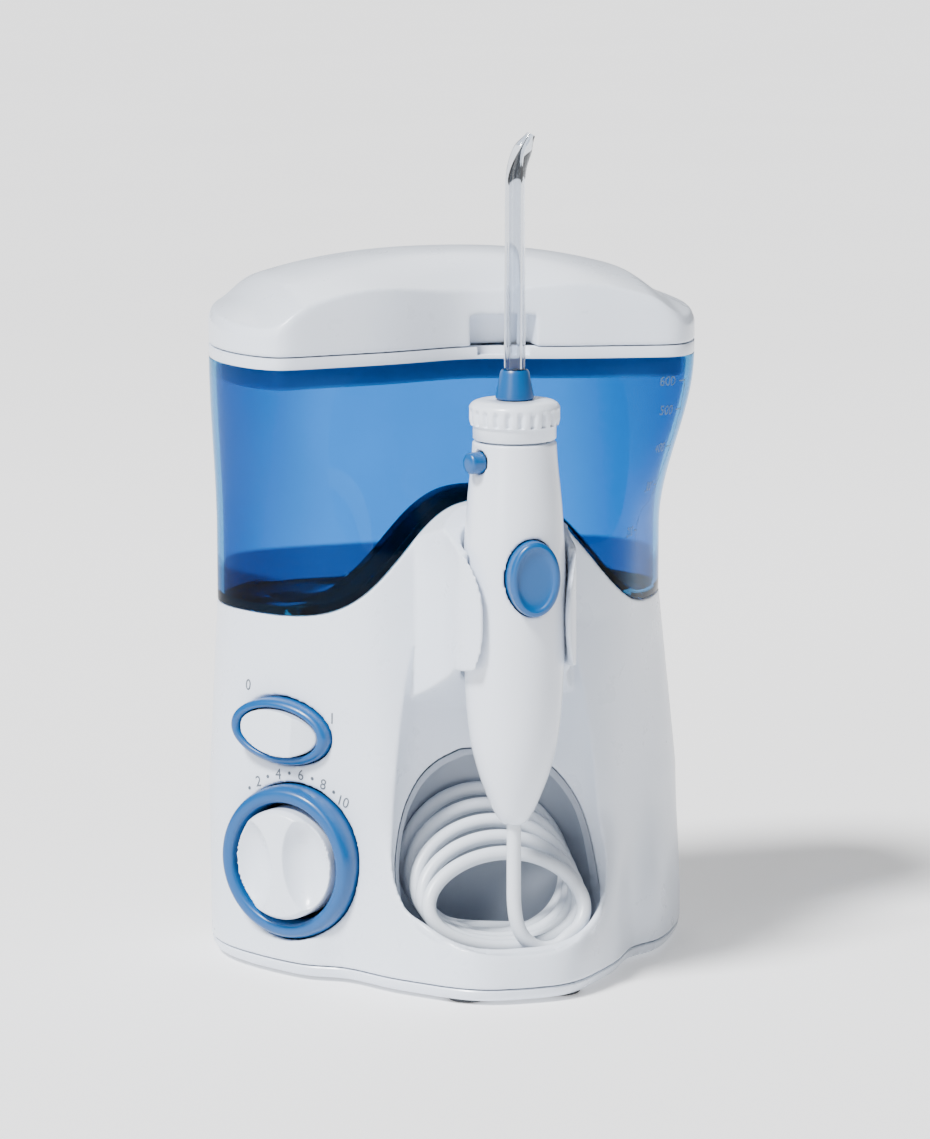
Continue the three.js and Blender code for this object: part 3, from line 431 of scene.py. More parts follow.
def tank_tint_and_painted_shade():
    """The tank's tinted plastic, with shade painted into its colour: darker at its ends, on its floor, along
    the wave, and where the lid's plug stands in shadow behind the wall.
    """
    material = see_through("tank_tint_and_painted_shade", TANK_WALL_COLOUR, 0.02, 1.04, ripple=0.02)
    tree = material.node_tree
    shader = tree.nodes["Principled BSDF"]
    set_inputs(shader, {"Coat Weight": 0.12, "Coat Roughness": 0.03})
    place = tree.nodes.new("ShaderNodeSeparateXYZ")
    tree.links.new(tree.nodes.new("ShaderNodeTexCoord").outputs["Object"], place.inputs["Vector"])

    def maths(operation, first, second):
        node = tree.nodes.new("ShaderNodeMath")
        node.operation = operation
        for socket, value in zip(node.inputs, (first, second)):
            if isinstance(value, (int, float)):
                socket.default_value = value
            else:
                tree.links.new(value, socket)
        return node.outputs[0]

    def between(source, low, high):
        node = tree.nodes.new("ShaderNodeMapRange")
        node.interpolation_type = "SMOOTHSTEP"
        set_inputs(node, {"From Min": low * MM, "From Max": high * MM})
        tree.links.new(source, node.inputs["Value"])
        return node.outputs["Result"]

    # Lays a colour over the one so far where a mask is set; every use below paints shade into the tint.
    def tinted(colour_socket, mask, colour):
        node = tree.nodes.new("ShaderNodeMix")
        node.data_type = "RGBA"
        node.inputs["B"].default_value = (*colour, 1)
        tree.links.new(mask, node.inputs["Factor"])
        tree.links.new(colour_socket, node.inputs["A"])
        return node.outputs["Result"]

    x, y, z = (place.outputs[axis] for axis in "XYZ")
    reach = maths("POWER", maths("DIVIDE", maths("ABSOLUTE", x, 0), WAVE_HALF_WIDTH * MM), WAVE_SHARPNESS)
    wave = maths("MULTIPLY", maths("EXPONENT", maths("MULTIPLY", reach, -1), 0), WAVE_RISE * MM)
    over_wave = maths("SUBTRACT", maths("SUBTRACT", z, wave), DECK_Z * MM)
    # Painted shadow: the low back of the tank darker, as its floor and the deck under it lie in shade.
    behind = between(y, 2, 14)
    low = maths("SUBTRACT", 1, between(z, 116, 117.5))
    floor = maths("MULTIPLY", low, behind)
    # Painted shade: a dark line just over the wave at the front, where the tank meets the tower.
    near_wave = maths("SUBTRACT", 1, between(over_wave, 2.3, 2.9))
    edge = maths("MULTIPLY", near_wave, maths("SUBTRACT", 1, behind))
    # Painted shade: the ends of the tank darker, where its wall is seen at a slant.
    ends = maths("MULTIPLY", between(maths("ABSOLUTE", x, 0), 44, 66), 0.85)
    colour = shader.inputs["Base Color"].links[0].from_socket
    # Painted shade at the ends.
    colour = tinted(colour, ends, (0.020, 0.200, 0.480))
    # Painted shade: darker from just under the rim up, where the lid's plug stands in shadow behind the wall.
    colour = tinted(colour, between(z, 174.5, 175.5), (0.02, 0.20, 0.42))
    # Painted shadow on the floor.
    colour = tinted(colour, floor, (0.002, 0.080, 0.240))
    # Painted shade along the wave edge.
    colour = tinted(colour, edge, (0.003, 0.085, 0.160))
    tree.links.new(colour, shader.inputs["Base Color"])
    return material


def rubber(name, colour):
    material, tree, shader = new_material(name)
    tree.links.new(colour_drift(tree, colour, 0.12, 60.0), shader.inputs["Base Color"])
    tree.links.new(ramp(tree, noise(tree, 300.0, 5.0), 0.65, 0.85), shader.inputs["Roughness"])
    add_bump(tree, shader, noise(tree, 2500.0, 4.0), 0.35, 0.03)
    return material


def printed(name, colour):
    """Pad-printed ink, slightly uneven."""
    material, tree, shader = new_material(name)
    tree.links.new(colour_drift(tree, colour, 0.15, 500.0), shader.inputs["Base Color"])
    tree.links.new(ramp(tree, noise(tree, 900.0, 3.0), 0.45, 0.65), shader.inputs["Roughness"])
    add_bump(tree, shader, noise(tree, 3000.0, 3.0), 0.2, 0.01)
    return material


TANK_WALL_COLOUR = (0.100, 0.40, 0.74)
WHITE = moulded("white_moulded", (0.76, 0.82, 0.92), 0.30, coat=0.15, glow=0.05)
WHITE_HANDLE = moulded("white_handle", (0.78, 0.83, 0.92), 0.24, 2200.0, bump=0.15, coat=0.25, glow=0.05)
BLUE = moulded("blue_moulded", (0.0004, 0.080, 0.265), 0.34, coat=0.06, drift=0.05)
GREY_INNER = moulded("grey_moulded", (0.34, 0.38, 0.45), 0.42, bump=0.35)
HOSE_WHITE = moulded("hose_vinyl", (0.72, 0.77, 0.84), 0.34, grain=900.0, bump=0.2, glow=0.08)
STEEL = metal("turned_steel", (0.56, 0.58, 0.60), 0.28)
RUBBER = rubber("dark_rubber", (0.035, 0.038, 0.045))
TANK_BLUE = tank_tint_and_painted_shade()
CLEAR = see_through("clear_tip", (0.70, 0.74, 0.80), 0.04, 1.38)
SOFT_CLEAR = see_through("soft_clear", (0.86, 0.88, 0.86), 0.2, 1.3)
GREY_INK = printed("grey_ink", (0.10, 0.12, 0.15))
MARK_INK = printed("mark_ink", (0.06, 0.13, 0.22))


def dress_cad_nodes():
    """Every CAD node that stays gets a detailed material from its slot."""
    looks = {"white_plastic": WHITE, "blue_plastic": BLUE, "inner_plastic": GREY_INNER, "steel": STEEL,
             "dark_rubber": RUBBER, "clear_blue": TANK_BLUE, "clear_plastic": SOFT_CLEAR}
    slots = {part["node"]: part["material_slot"] for part in frame["record"]["subparts"]}
    for name, slot in slots.items():
        node = frame["nodes"][name]
        for place in node.material_slots:
            place.link = "OBJECT"
            place.material = looks[slot]


dress_cad_nodes()


# -------------------- hose
HOSE_FLOOR_Z = 13.2
HOSE_LEAD_Y = -20.6
# The parts of the route that aren't coiled, as in the CAD source.
HOSE_LEAD = [(24.6, HOSE_LEAD_Y, HOSE_FLOOR_Z), (18, -20.8, HOSE_FLOOR_Z), (11, -21.4, HOSE_FLOOR_Z),
             (5, -22.2, HOSE_FLOOR_Z)]
HOSE_DROP = [(16.5, -45, 16), (12.6, -45.7, 13.6), (7.8, -45.9, 13.5), (3.4, -45.9, 16.4), (1, -45.8, 21),
             (0.1, -45.6, 27), (0, HANDLE_Y, 34), (0, HANDLE_Y, 42), (0, HANDLE_Y, HANDLE_BOTTOM_Z + 3.2)]


def coil_point(turn, angle):
    """A point of the leaning coil: angle 0 is at the back wall and a quarter turn is at the right."""
    back = np.array([1.5, -4.6 - 6.7 * turn, 52.6 - 3.43 * turn])
    left = np.array([0.25 * turn - 24, -15 - 5.85 * turn, 31.4 - 1.7 * turn])
    foot = np.array([1.5, -23.9 - 5 * turn, HOSE_FLOOR_Z])
    right = np.array([24.3 - 0.3 * turn, -15 - 5.85 * turn, 31.4 - 1.7 * turn])
    middle = (back + foot + left + right) / 4
    twist = (back + foot - left - right) / 4
    return middle + (back - foot) / 2 * math.cos(angle) + (right - left) / 2 * math.sin(angle) \
        + twist * math.cos(2 * angle)


def add_hose():
    """The hose: out of its gland, five leaning turns, then up into the bottom of the handle."""
    first, last, per_turn = 1.16 * math.pi, 10.66 * math.pi, 18
    angles = np.linspace(first, last, int((last - first) / (2 * math.pi) * per_turn))
    coil = [coil_point((angle - 2 * math.pi) / (2 * math.pi), angle) for angle in angles]
    route = resampled(rounded_path(HOSE_LEAD[:-1] + coil + HOSE_DROP, 6), 700)
    hose = swept_tube("hose", route, HOSE_DIAMETER / 2, 16)
    settle(hose, None, ["hose_lead", "hose_coil", "hose_drop"], HOSE_WHITE)
    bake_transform(hose)


add_hose()


# -------------------- outer form
# Half outlines seen from above, front centre round to back centre, as B-spline poles.
NOSE = [(0, -58.2), (15.4, -57.9), (28.8, -42.5), (36.5, -34.3), (44.2, -18.6), (53.8, -16.9),
        (63.1, -3.1), (73.5, 16.6), (72.5, 37.8), (58.1, 61.4), (24, 64.3), (0, 64.3)]
WAIST = [(0, -28), (18, -28), (33, -28.5), (39, -23), (47, -14), (55, -6),
         (63.5, 4), (73, 20), (72, 41), (57.5, 61.5), (24, 64), (0, 64)]
DECK = [(0, -24.5), (15, -24.5), (28, -24.5), (37, -22.5), (45.5, -14), (51.5, -4.5),
        (59, 7), (68, 24), (69, 43), (56, 60.5), (24, 63), (0, 63)]
RIM = [(0, 1), (12, -2.6), (24, -6.6), (34, -8.5), (44, -10), (55, -12),
       (64, -12.5), (73.6, 8), (72.6, 35.8), (58.2, 60.5), (24, 63.3), (0, 63.3)]
RING_COUNT = 176


def mixed(a, b, t):
    return [(x + (u - x) * t, y + (v - y) * t) for (x, y), (u, v) in zip(a, b)]


def half_outline(z):
    if z < WAIST_Z:
        return mixed(NOSE, WAIST, smooth_step(10, WAIST_Z, z))
    if z < DECK_Z:
        return mixed(WAIST, DECK, (z - WAIST_Z) / (DECK_Z - WAIST_Z))
    return mixed(DECK, RIM, smooth_step(TOWER_TOP_Z, RIM_Z, z))


def spline_ring(half, count=RING_COUNT):
    """The closed uniform B-spline through a mirrored half outline."""
    poles = np.array(list(half) + [(-x, y) for x, y in half[-2:0:-1]], float)
    u = np.arange(count) / count * len(poles)
    k = np.floor(u).astype(int)
    t = (u - k)[:, None]
    weights = [(1 - t) ** 3, 3 * t ** 3 - 6 * t ** 2 + 4, -3 * t ** 3 + 3 * t ** 2 + 3 * t + 1, t ** 3]
    return sum(w / 6 * poles[(k + j - 1) % len(poles)] for j, w in enumerate(weights))


def inset(ring, distance):
    """The ring moved inwards; a negative distance moves it outwards."""
    side = np.roll(ring, -1, axis=0) - np.roll(ring, 1, axis=0)
    side /= np.linalg.norm(side, axis=1)[:, None]
    return ring + distance * np.column_stack([-side[:, 1], side[:, 0]])


def at_height(ring, z):
    return [(x, y, z) for x, y in ring]


def body_ring(z, distance=0.0):
    return inset(spline_ring(half_outline(z)), distance)


def body_loft(name, low, high, distance=0.0):
    levels = np.linspace(low, high, int((high - low) / 2.5))
    return loft(name, [at_height(body_ring(z, distance), z) for z in levels])


def wave_z(x):
    """The edge between the tower and the tank, as a height over x."""
    return DECK_Z + WAVE_RISE * math.exp(-(abs(x) / WAVE_HALF_WIDTH) ** WAVE_SHARPNESS)


def above_wave(raised):
    outline = [(x, wave_z(x) + raised) for x in np.arange(-84, 84.1, 1.5)]
    return prism("above_wave", outline + [(84, 260), (-84, 260)], -90, 90, "Y")


def tank_core(low, shrink):
    """The part of the tank behind the tower, down on the deck."""
    plan = inset(body_ring(CORE_TOP_Z) * np.array([0.93, 0.84]) + np.array([0, 64 * 0.16]), shrink)
    return loft("tank_core", [at_height(plan, z) for z in (low, CORE_TOP_Z + 3)])


# Height, half width and back of the valley in front of the base, then height and half width of the hose well.
VALLEY = [
    (14.5, 6, -17), (15.2, 14, -16), (17, 20.5, -15.5), (20, 25.5, -15), (25, 29.8, -14.6), (32, 32, -14.2),
    (40, 33, -14), (60, 32.5, -14), (85, 30.2, -14.5), (100, 28.2, -16), (114, 25.6, -18.4),
    (127, 21.4, -20.8), (137, 14.4, -22.8), (142, 5, -24)]
VALLEY_MIDDLE, VALLEY_REACH, VALLEY_DEPTH = -34.0, 36.0, 19.4
WELL = [(9, 24.5), (10.8, 27.4), (20, 28.6), (34, 28.8), (48, 26), (57, 20.8), (62, 14.5), (65, 6)]
WELL_MIDDLE, WELL_HALF_DEPTH, WELL_HALF_WIDTH = -25.8, 23.8, 28.6
WELL_SHOULDER_Z, WELL_TOP_Z = 48, 65
SCOOP_SIDES = 96


def fuller(value):
    """Makes a round outline squarer."""
    return math.copysign(abs(value) ** 0.72, value)


def valley(grow=0.0):
    """The open valley in front, as a solid to cut with."""
    rings = []
    for z, half_width, back in rounded_path(VALLEY, 6):
        ring = []
        for angle in round_angles(SCOOP_SIDES):
            depth = back + grow - VALLEY_MIDDLE if math.sin(angle) > 0 else VALLEY_REACH
            ring.append(((half_width + grow) * math.cos(angle), VALLEY_MIDDLE + depth * math.sin(angle), z))
        rings.append(ring)
    if grow > 0:
        rings[0] = [(x, y, z - grow) for x, y, z in rings[0]]
    return loft("valley", rings)


def well(grow=0.0):
    """The hose well, as a solid; its arched top grows evenly from its shoulder up."""
    depth = WELL_HALF_DEPTH + grow
    rings = []
    for i, (z, half_width) in enumerate(rounded_path(WELL, 5)):
        z += -grow if i == 0 else grow * max(0, (z - WELL_SHOULDER_Z) / (WELL_TOP_Z - WELL_SHOULDER_Z))
        reach = half_width + grow
        rings.append([(reach * fuller(math.cos(a)), WELL_MIDDLE + depth * fuller(math.sin(a)), z)
                      for a in round_angles(SCOOP_SIDES)])
    return loft("well", rings)


def lip_path():
    """The front edge of the opening, where the valley's floor meets the wall of the hose well."""
    rising = [(z, half_width) for z, half_width, _ in rounded_path(VALLEY, 6) if z <= 40]
    heights, widths = zip(*rising)
    grow = LINER_WALL + GAP
    path = []
    for a in np.radians(np.arange(-172, -7.9, 2)):
        x = (WELL_HALF_WIDTH + grow) * fuller(math.cos(a))
        y = WELL_MIDDLE + (WELL_HALF_DEPTH + grow) * fuller(math.sin(a))
        reach = VALLEY_REACH if y < VALLEY_MIDDLE else VALLEY_DEPTH
        half_width = abs(x) / math.sqrt(1 - ((y - VALLEY_MIDDLE) / reach) ** 2)
        if half_width < widths[-1]:
            path.append((x, y, float(np.interp(half_width, widths, heights)) - 0.4))
    return path


# -------------------- left flank
FLANK_NORMAL = Vector((-math.sin(FLANK_ANGLE), -math.cos(FLANK_ANGLE), 0))
FLANK_ACROSS = Vector((math.cos(FLANK_ANGLE), -math.sin(FLANK_ANGLE), 0))


def on_flank(obj, centre, roll=0.0):
    """Turns X to run across the flank, Y up and Z out of it, about a centre."""
    basis = Matrix((FLANK_ACROSS, Vector((0, 0, 1)), FLANK_NORMAL)).transposed().to_4x4()
    return moved(obj, Matrix.Translation(centre) @ basis @ Matrix.Rotation(roll, 4, "Z"))


def oval(half_width, half_height, sides):
    return [(half_width * math.cos(a), half_height * math.sin(a)) for a in round_angles(sides)]


def oval_rod(name, half_width, half_height, low, high):
    return prism(name, oval(half_width, half_height, 96), low, high, "Z")


# -------------------- base
FEET = [(-52, 20), (52, 20), (-44, 52), (44, 52), (-14, -46), (14, -46)]
SCREWS = [(-50, 44), (50, 44), (-30, -12), (30, -12)]
VALVE_SEAT = Vector((-20, 40, 0))
CORD_INLET = Vector((34, 63, 18))
LINER_WALL = 1.6


def on_seat(z):
    return (VALVE_SEAT.x, VALVE_SEAT.y, z)


def hose_hole():
    return rod("hose_hole", 3.4, 18, (20, HOSE_LEAD_Y, HOSE_FLOOR_Z), (1, 0, 0))


def cradle():
    """The C-shaped cradle that grows out of the tower and clips round the handle."""
    low, high, bore, outer = 94, 131, 15.3, 17.8
    side = [(outer * math.cos(math.radians(d)), HANDLE_Y + outer * math.sin(math.radians(d)))
            for d in range(-42, 1, 3)]
    side += [tuple(p) for p in rounded_path([(17.8, -44), (18.6, -37), (21.5, -28), (25, -21), (24, -13)], 4)]
    outline = side + [(-x, y) for x, y in side[::-1]]
    arm = prism("cradle", outline, low - 14, high + 11, "Z")
    waist = [(12.4 + 4.2 * ((z - 112) / 19) ** 2, z) for z in np.arange(low, high + 0.1, 1)]
    window = [(-17.5, low - 3), (17.5, low - 3)] + waist + [(17.5, high + 3), (-17.5, high + 3)]
    window += [(-x, z) for x, z in waist[::-1]]
    top = [(-64, high - 4), (-57, high - 2.5), (-25, high + 9.5), (-25, high + 19), (-64, high + 19)]
    under = [(-64, low - 20), (-10, low - 20), (-14, low - 14), (-45, low + 2.5), (-64, low + 5)]
    return cut(arm, prism("top_slope", top, -40, 40, "X"), prism("under_slope", under, -40, 40, "X"),
               rod("bore", bore, 80, (0, HANDLE_Y, 80), sides=96),
               prism("window", window, -70, HANDLE_Y - 4, "Y"))


def add_base():
    inside = body_loft("inside", SEAM_Z - 2, DECK_Z - WALL, WALL)
    cut(inside, valley(WALL), well(LINER_WALL + GAP + 1.8))
    tank_space = join(above_wave(0), tank_core(DECK_Z, -GAP))
    base = cut(body_loft("base_shell", SEAM_Z + GAP, 147), inside)
    join(base, rod("seat", 8, 6, on_seat(DECK_Z - 8)))
    join(cut(base, valley()), cradle())
    dial_pocket = on_flank(rod("pocket", 23.1, 34.2, (0, 0, -4.2), sides=96), DIAL_CENTRE)
    dial_hole = on_flank(rod("hole", 5, 32, (0, 0, -30)), DIAL_CENTRE)
    switch_pocket = on_flank(oval_rod("pocket", 17.4, 10, -3.4, 30), SWITCH_CENTRE, SWITCH_ROLL)
    switch_hole = on_flank(oval_rod("hole", 13.6, 7, -20, 0), SWITCH_CENTRE, SWITCH_ROLL)
    x, y, z = CORD_INLET
    cut(base, tank_space, well(LINER_WALL + GAP), rod("drain", 4.4, 20, on_seat(DECK_Z - 14)),
        rod("drain_rim", 5.3, 6, on_seat(DECK_Z - 1.9)), dial_pocket, dial_hole, switch_pocket, switch_hole,
        hose_hole(),
        rod("cord_hole", 4.3, 20, (x, y - 12, z), (0, 1, 0)),
        rod("cord_rim", 6.2, 9, (x, y - 1.8, z), (0, 1, 0)))
    join(base, swept_tube("lip", lip_path(), lambda t: 0.35 + 0.95 * smooth_step(0, 0.2, min(t, 1 - t))))
    soften(base, 0.58, 6)
    settle(base, "base", ["base_housing"], WHITE)


def add_well_liner():
    liner = cut(well(LINER_WALL), well(), valley(), hose_hole())
    bevelled(liner, 0.35)
    settle(liner, "base", ["hose_well"], GREY_INNER)


def add_tray():
    def tray_ring(distance, z):
        return at_height(inset(spline_ring(half_outline(SEAM_Z)), distance), z)
    edge = [(3, 1.2), (2.1, 1.25), (1.35, 1.7), (0.9, 2.4), (0.45, 3.4), (0.3, SEAM_Z - 0.35), (0.55, SEAM_Z)]
    tray = loft("base_tray_shell", [tray_ring(distance, z) for distance, z in edge])
    hollow = loft("hollow", [tray_ring(3.4, 3.4), tray_ring(3.4, SEAM_Z + 2)])
    holes = [rod("foot_hole", 6.3, 1.6, (x, y, 0.6)) for x, y in FEET]
    holes += [rod("screw_hole", 1.9, 6, (x, y, 0)) for x, y in SCREWS]
    holes += [rod("screw_sink", 3.6, 1.4, (x, y, 1)) for x, y in SCREWS]
    smooth_shaded(cut(tray, hollow, *holes))
    settle(tray, "base", ["base_tray"], WHITE)


def add_feet_and_screws():
    foot = [(0, 0), (4.6, 0), (5.4, 0.15), (5.9, 0.6), (6, 1.2), (6, 1.9), (0, 1.9)]
    ribs = [(0, 0.25), (2.2, 0.25), (2.6, 0), (3.6, 0), (4, 0.25), (4.6, 0.25), (4.9, 0)] + foot[2:]
    for i, (x, y) in enumerate(FEET, 1):
        pad = stood(outward(lathe(f"rubber_foot_{i}", ribs, 48)), (x, y, 0))
        settle(smooth_shaded(pad), "base", [f"foot_{i}"], RUBBER)
    screw = [(0, 0), (3, 0), (3, 1.1), (1.2, 1.1), (1.2, 10.9), (0, 10.9)]
    for i, (x, y) in enumerate(SCREWS, 1):
        head = lathe(f"screw_{i}", round_corners(screw, 0.3), 40)
        outward(stood(head, (x, y, 1.3)))
        slots = [block("slot", (x - 1.7, y - 0.35, 0.8), (x + 1.7, y + 0.35, 2.1)),
                 block("slot", (x - 0.35, y - 1.7, 0.8), (x + 0.35, y + 1.7, 2.1))]
        smooth_shaded(cut(head, *slots))
        settle(head, "base", [f"tray_screw_{i}"], STEEL)


def add_cord_gland():
    """The strain relief's collar in the back wall, where the mains cord would go in."""
    loop = [(2.2, -6), (4, -6), (4, -1.6), (5.8, -1.6), (5.8, 0.4), (2.9, 0.4), (2.2, -0.6)]
    gland = lathe("cord_gland_bush", ring_profile(loop, 0.35), 64)
    moved(gland, Matrix.Translation(CORD_INLET) @ Matrix.Rotation(-math.pi / 2, 4, "X"))
    settle(smooth_shaded(outward(gland)), "base", ["cord_gland"], RUBBER)


# -------------------- tank
def add_tank():
    outside = overlap(body_loft("tank_shell", DECK_Z, RIM_Z),
                      join(above_wave(GAP), tank_core(DECK_Z + GAP, GAP / 2)))
    rings = [at_height(body_ring(z, TANK_WALL), z) for z in np.arange(DECK_Z, RIM_Z + 0.1, 2.5)]
    rings.append(at_height(body_ring(RIM_Z, TANK_WALL), RIM_Z + 1))
    inside = loft("inside", rings)
    overlap(inside, join(above_wave(GAP + TANK_WALL), tank_core(TANK_FLOOR_Z, TANK_WALL)))
    tank = cut(outside, inside, rod("valve_hole", 5.2, 8, on_seat(DECK_Z - 1)))
    bevelled(tank, 0.45, 3, 40)
    settle(tank, "tank", ["tank"], TANK_BLUE)


def tank_surface(place, z, proud):
    """A point just outside the tank: place is the distance along the outline from the left front corner."""
    ring = spline_ring(half_outline(z), 720)
    corner = int(np.argmax(ring @ np.array([0.80, -0.60])))
    step = float(np.linalg.norm(ring[1] - ring[0]))
    x, y = inset(ring, -proud)[(corner + int(round(place / step))) % len(ring)]
    return (x, y, z)


def flat_text(name, words, size):
    """Filled outlines of generic numbers, as a mesh in X-Y millimetres."""
    curve = bpy.data.curves.new(name, "FONT")
    curve.body = words
    curve.size = size
    curve.align_x = curve.align_y = "CENTER"
    curve.resolution_u = 4
    holder = in_scene(name, curve)
    graph = bpy.context.evaluated_depsgraph_get()
    mesh = bpy.data.meshes.new_from_object(holder.evaluated_get(graph))
    bpy.data.objects.remove(holder)
    return in_scene(name, mesh)


MARKS_LOW, MARKS_HIGH = 124.5, 173.5


def mark_drift(z):
    """The line of marks leans back towards the middle on its way up."""
    return 1.5 - 6.5 * (z - MARKS_LOW) / (MARKS_HIGH - MARKS_LOW)


def add_level_marks():
    """Millilitre marks printed up the right front corner of the tank, with generic numbers."""
    faces, points = [], []

    def strip(place_a, place_b, z_a, z_b, pieces):
        start = len(points)
        for k in range(pieces + 1):
            t = k / pieces
            across = abs(place_b - place_a) > abs(z_b - z_a)
            for side in (0, 1):
                place = place_a + (place_b - place_a) * (t if across else side)
                z = z_a + (z_b - z_a) * (side if across else t)
                points.append(tank_surface(place + mark_drift(z), z, 0.06))
        for k in range(pieces):
            a = start + 2 * k
            faces.append((a, a + 2, a + 3, a + 1))
    strip(2.6, 3.0, MARKS_LOW, MARKS_HIGH, 40)
    heights = [129.0, 140.7, 152.4, 164.1, 173.0]
    for z in heights:
        strip(-0.4, 2.6, z - 0.2, z + 0.2, 6)
    marks = make_mesh("level_marks", points, faces)
    settle(marks, "tank", [], MARK_INK)
    for z, words in zip(heights, ("200", "300", "400", "500", "600")):
        number = flat_text(f"level_{words}", words, 4.2)
        for vertex in number.data.vertices:
            u, v, _ = vertex.co
            vertex.co = Vector(tank_surface(u - 5.2 + mark_drift(z), z + v, 0.06)) * MM
        settle(number, "tank", [], MARK_INK)


def add_valve():
    body = rod("valve_body", 4.9, 5.2, on_seat(DECK_Z - 1.6))
    join(body, rod("flange", 7.6, 1.6, on_seat(TANK_FLOOR_Z + GAP)))
    cut(body, rod("bore", 2.6, 12, on_seat(DECK_Z - 4)))
    settle(bevelled(body, 0.25), "tank", ["tank_valve_body"], WHITE)
    plunger = rod("valve_plunger", 1.4, 9, on_seat(DECK_Z - 3.4))
    join(plunger, rod("head", 5, 1.2, on_seat(DECK_Z + 5.2)))
    settle(bevelled(plunger, 0.25), "tank_valve", ["tank_valve_plunger"], BLUE)


# -------------------- lid
LID_MIDDLE_Y = 28.0
HINGE_Y = 60.5
HINGE_Z = 188.0
NOTCH_X = 9.5
EAR_PLACES = (-15, 15)
KNUCKLE_PLACES = (-24, 0, 24)


def lid_height(x, y):
    dome = LID_CROWN_Z - 13.6 * (abs(x) / 72) ** 2.3 - 5.5 * ((y - LID_MIDDLE_Y) / 38) ** 2
    front_slope = 8 * math.exp(-(x / 24) ** 2) * math.exp(-((y + 6) / 19) ** 2)
    return max(dome - front_slope - 3.5 * smooth_step(52, 64, abs(x)), LID_TRAY_TOP_Z + 4)


def lid_skin(name, distance, drop):
    rim = inset(spline_ring(RIM), distance)

    def cap(scale):
        ring = rim * scale + np.array([0, LID_MIDDLE_Y * (1 - scale)])
        return [(x, y, lid_height(x, y) - drop) for x, y in ring]
    shoulder = cap(0.985)
    side = [(x, y, min(p[2] - 2.5, LID_SIDE_Z)) for (x, y), p in zip(rim, shoulder)]
    rings = [at_height(rim, LID_TRAY_TOP_Z + GAP), side, shoulder]
    return loft(name, rings + [cap(scale) for scale in np.linspace(0.96, 0.06, 26)])


def add_lid_tray():
    """The lid's lower frame, with a fill hole and six sockets for spare tips."""
    rim = spline_ring(RIM)

    def slab(name, distance, low, high):
        return loft(name, [at_height(inset(rim, distance), z) for z in (low, high)])
    top = LID_TRAY_TOP_Z
    tray = join(slab("lid_tray_shell", 0, RIM_Z + GAP, top), slab("plug", 3.6, RIM_Z - 6, RIM_Z + 1))
    cut(tray, slab("hollow", 5.6, RIM_Z - 4.4, top + 1),
        block("fill_hole", (-10, 48, RIM_Z - 8), (10, 57, RIM_Z + 8)),
        block("turn_relief", (-60, HINGE_Y - 6, top - 1.3), (60, HINGE_Y + 6, top + 1)))
    ears = [block("ear", (x - 3, HINGE_Y - 3, top - 2), (x + 3, HINGE_Y + 2.6, HINGE_Z + 2.4))
            for x in EAR_PLACES]
    sockets = [tube_round("socket", 4.6, 3.4, 7, (x, 26, RIM_Z - 5)) for x in (-30, -18, -6, 6, 18, 30)]
    under_notch = block("under_notch", (NOTCH_X - 7.5, -12, RIM_Z + 1.3), (NOTCH_X + 7.5, 5.5, top + 1))
    cut(tray, cut(under_notch, slab("behind", 3.4, RIM_Z, top + 2)))
    cut(join(tray, *ears, *sockets), rod("pin_hole", 1.4, 60, (-30, HINGE_Y, HINGE_Z), (1, 0, 0)))
    bevelled(tray, 0.4)
    settle(tray, "lid", ["lid_tray"], WHITE)


def add_lid_cover():
    """The domed cover with its finger notch, hinge knuckles and room for the tray's ears."""
    low = LID_TRAY_TOP_Z
    cover = cut(lid_skin("lid_cover_shell", 0, 0), lid_skin("under", WALL, WALL + GAP))
    pocket = block("pocket", (NOTCH_X - 11.5, -12, low), (NOTCH_X + 11.5, 7.5, low + 11.6))
    join(cover, overlap(pocket, lid_skin("outer", 0.1, 0.1)))
    cut(cover, block("notch", (NOTCH_X - 9.5, -12, low - 1), (NOTCH_X + 9.5, 5.5, low + 9.6)),
        *[block("relief", (x - 3.6, HINGE_Y - 4, low), (x + 3.6, HINGE_Y + 3.4, HINGE_Z + 4.4))
          for x in EAR_PLACES])
    knuckles = [rod("knuckle", 2.6, 9, (x - 4.5, HINGE_Y, HINGE_Z), (1, 0, 0)) for x in KNUCKLE_PLACES]
    webs = [block("web", (x - 4.5, HINGE_Y - 1.5, HINGE_Z), (x + 4.5, HINGE_Y + 1.5, HINGE_Z + 6))
            for x in KNUCKLE_PLACES]
    overlap(join(cover, *knuckles, *webs), lid_skin("outer", 0, 0))
    cut(cover, rod("pin_hole", 1.4, 70, (-35, HINGE_Y, HINGE_Z), (1, 0, 0)))
    soften(cover, 0.6, 6)
    settle(cover, "lid_cover", ["lid_cover"], WHITE)


# -------------------- handle
HANDLE_PROFILE = [(3.2, 51), (4.6, 52.6), (6.2, 55.5), (8.1, 60), (10.1, 65.5), (12.1, 73), (13.3, 81),
                  (14, 90), (14.6, 105), (14.75, 115), (14.6, 128), (13.7, 143), (12.4, 156),
                  (12, COLLAR_Z - 0.6)]
BUTTON = Vector((1.2, HANDLE_Y, 124.8))
EJECT_Z = 156.9
EJECT_ANGLE = math.radians(72)
EJECT_OUT = Vector((-math.sin(EJECT_ANGLE), -math.cos(EJECT_ANGLE), 0))


def on_handle(obj):
    return stood(obj, (0, HANDLE_Y, 0))


def out_of_front(obj):
    """Turns a piece that was made along Z to point out of the handle's front, at the pause button."""
    return moved(obj, Matrix.Translation(BUTTON) @ Matrix.Rotation(math.pi / 2, 4, "X"))


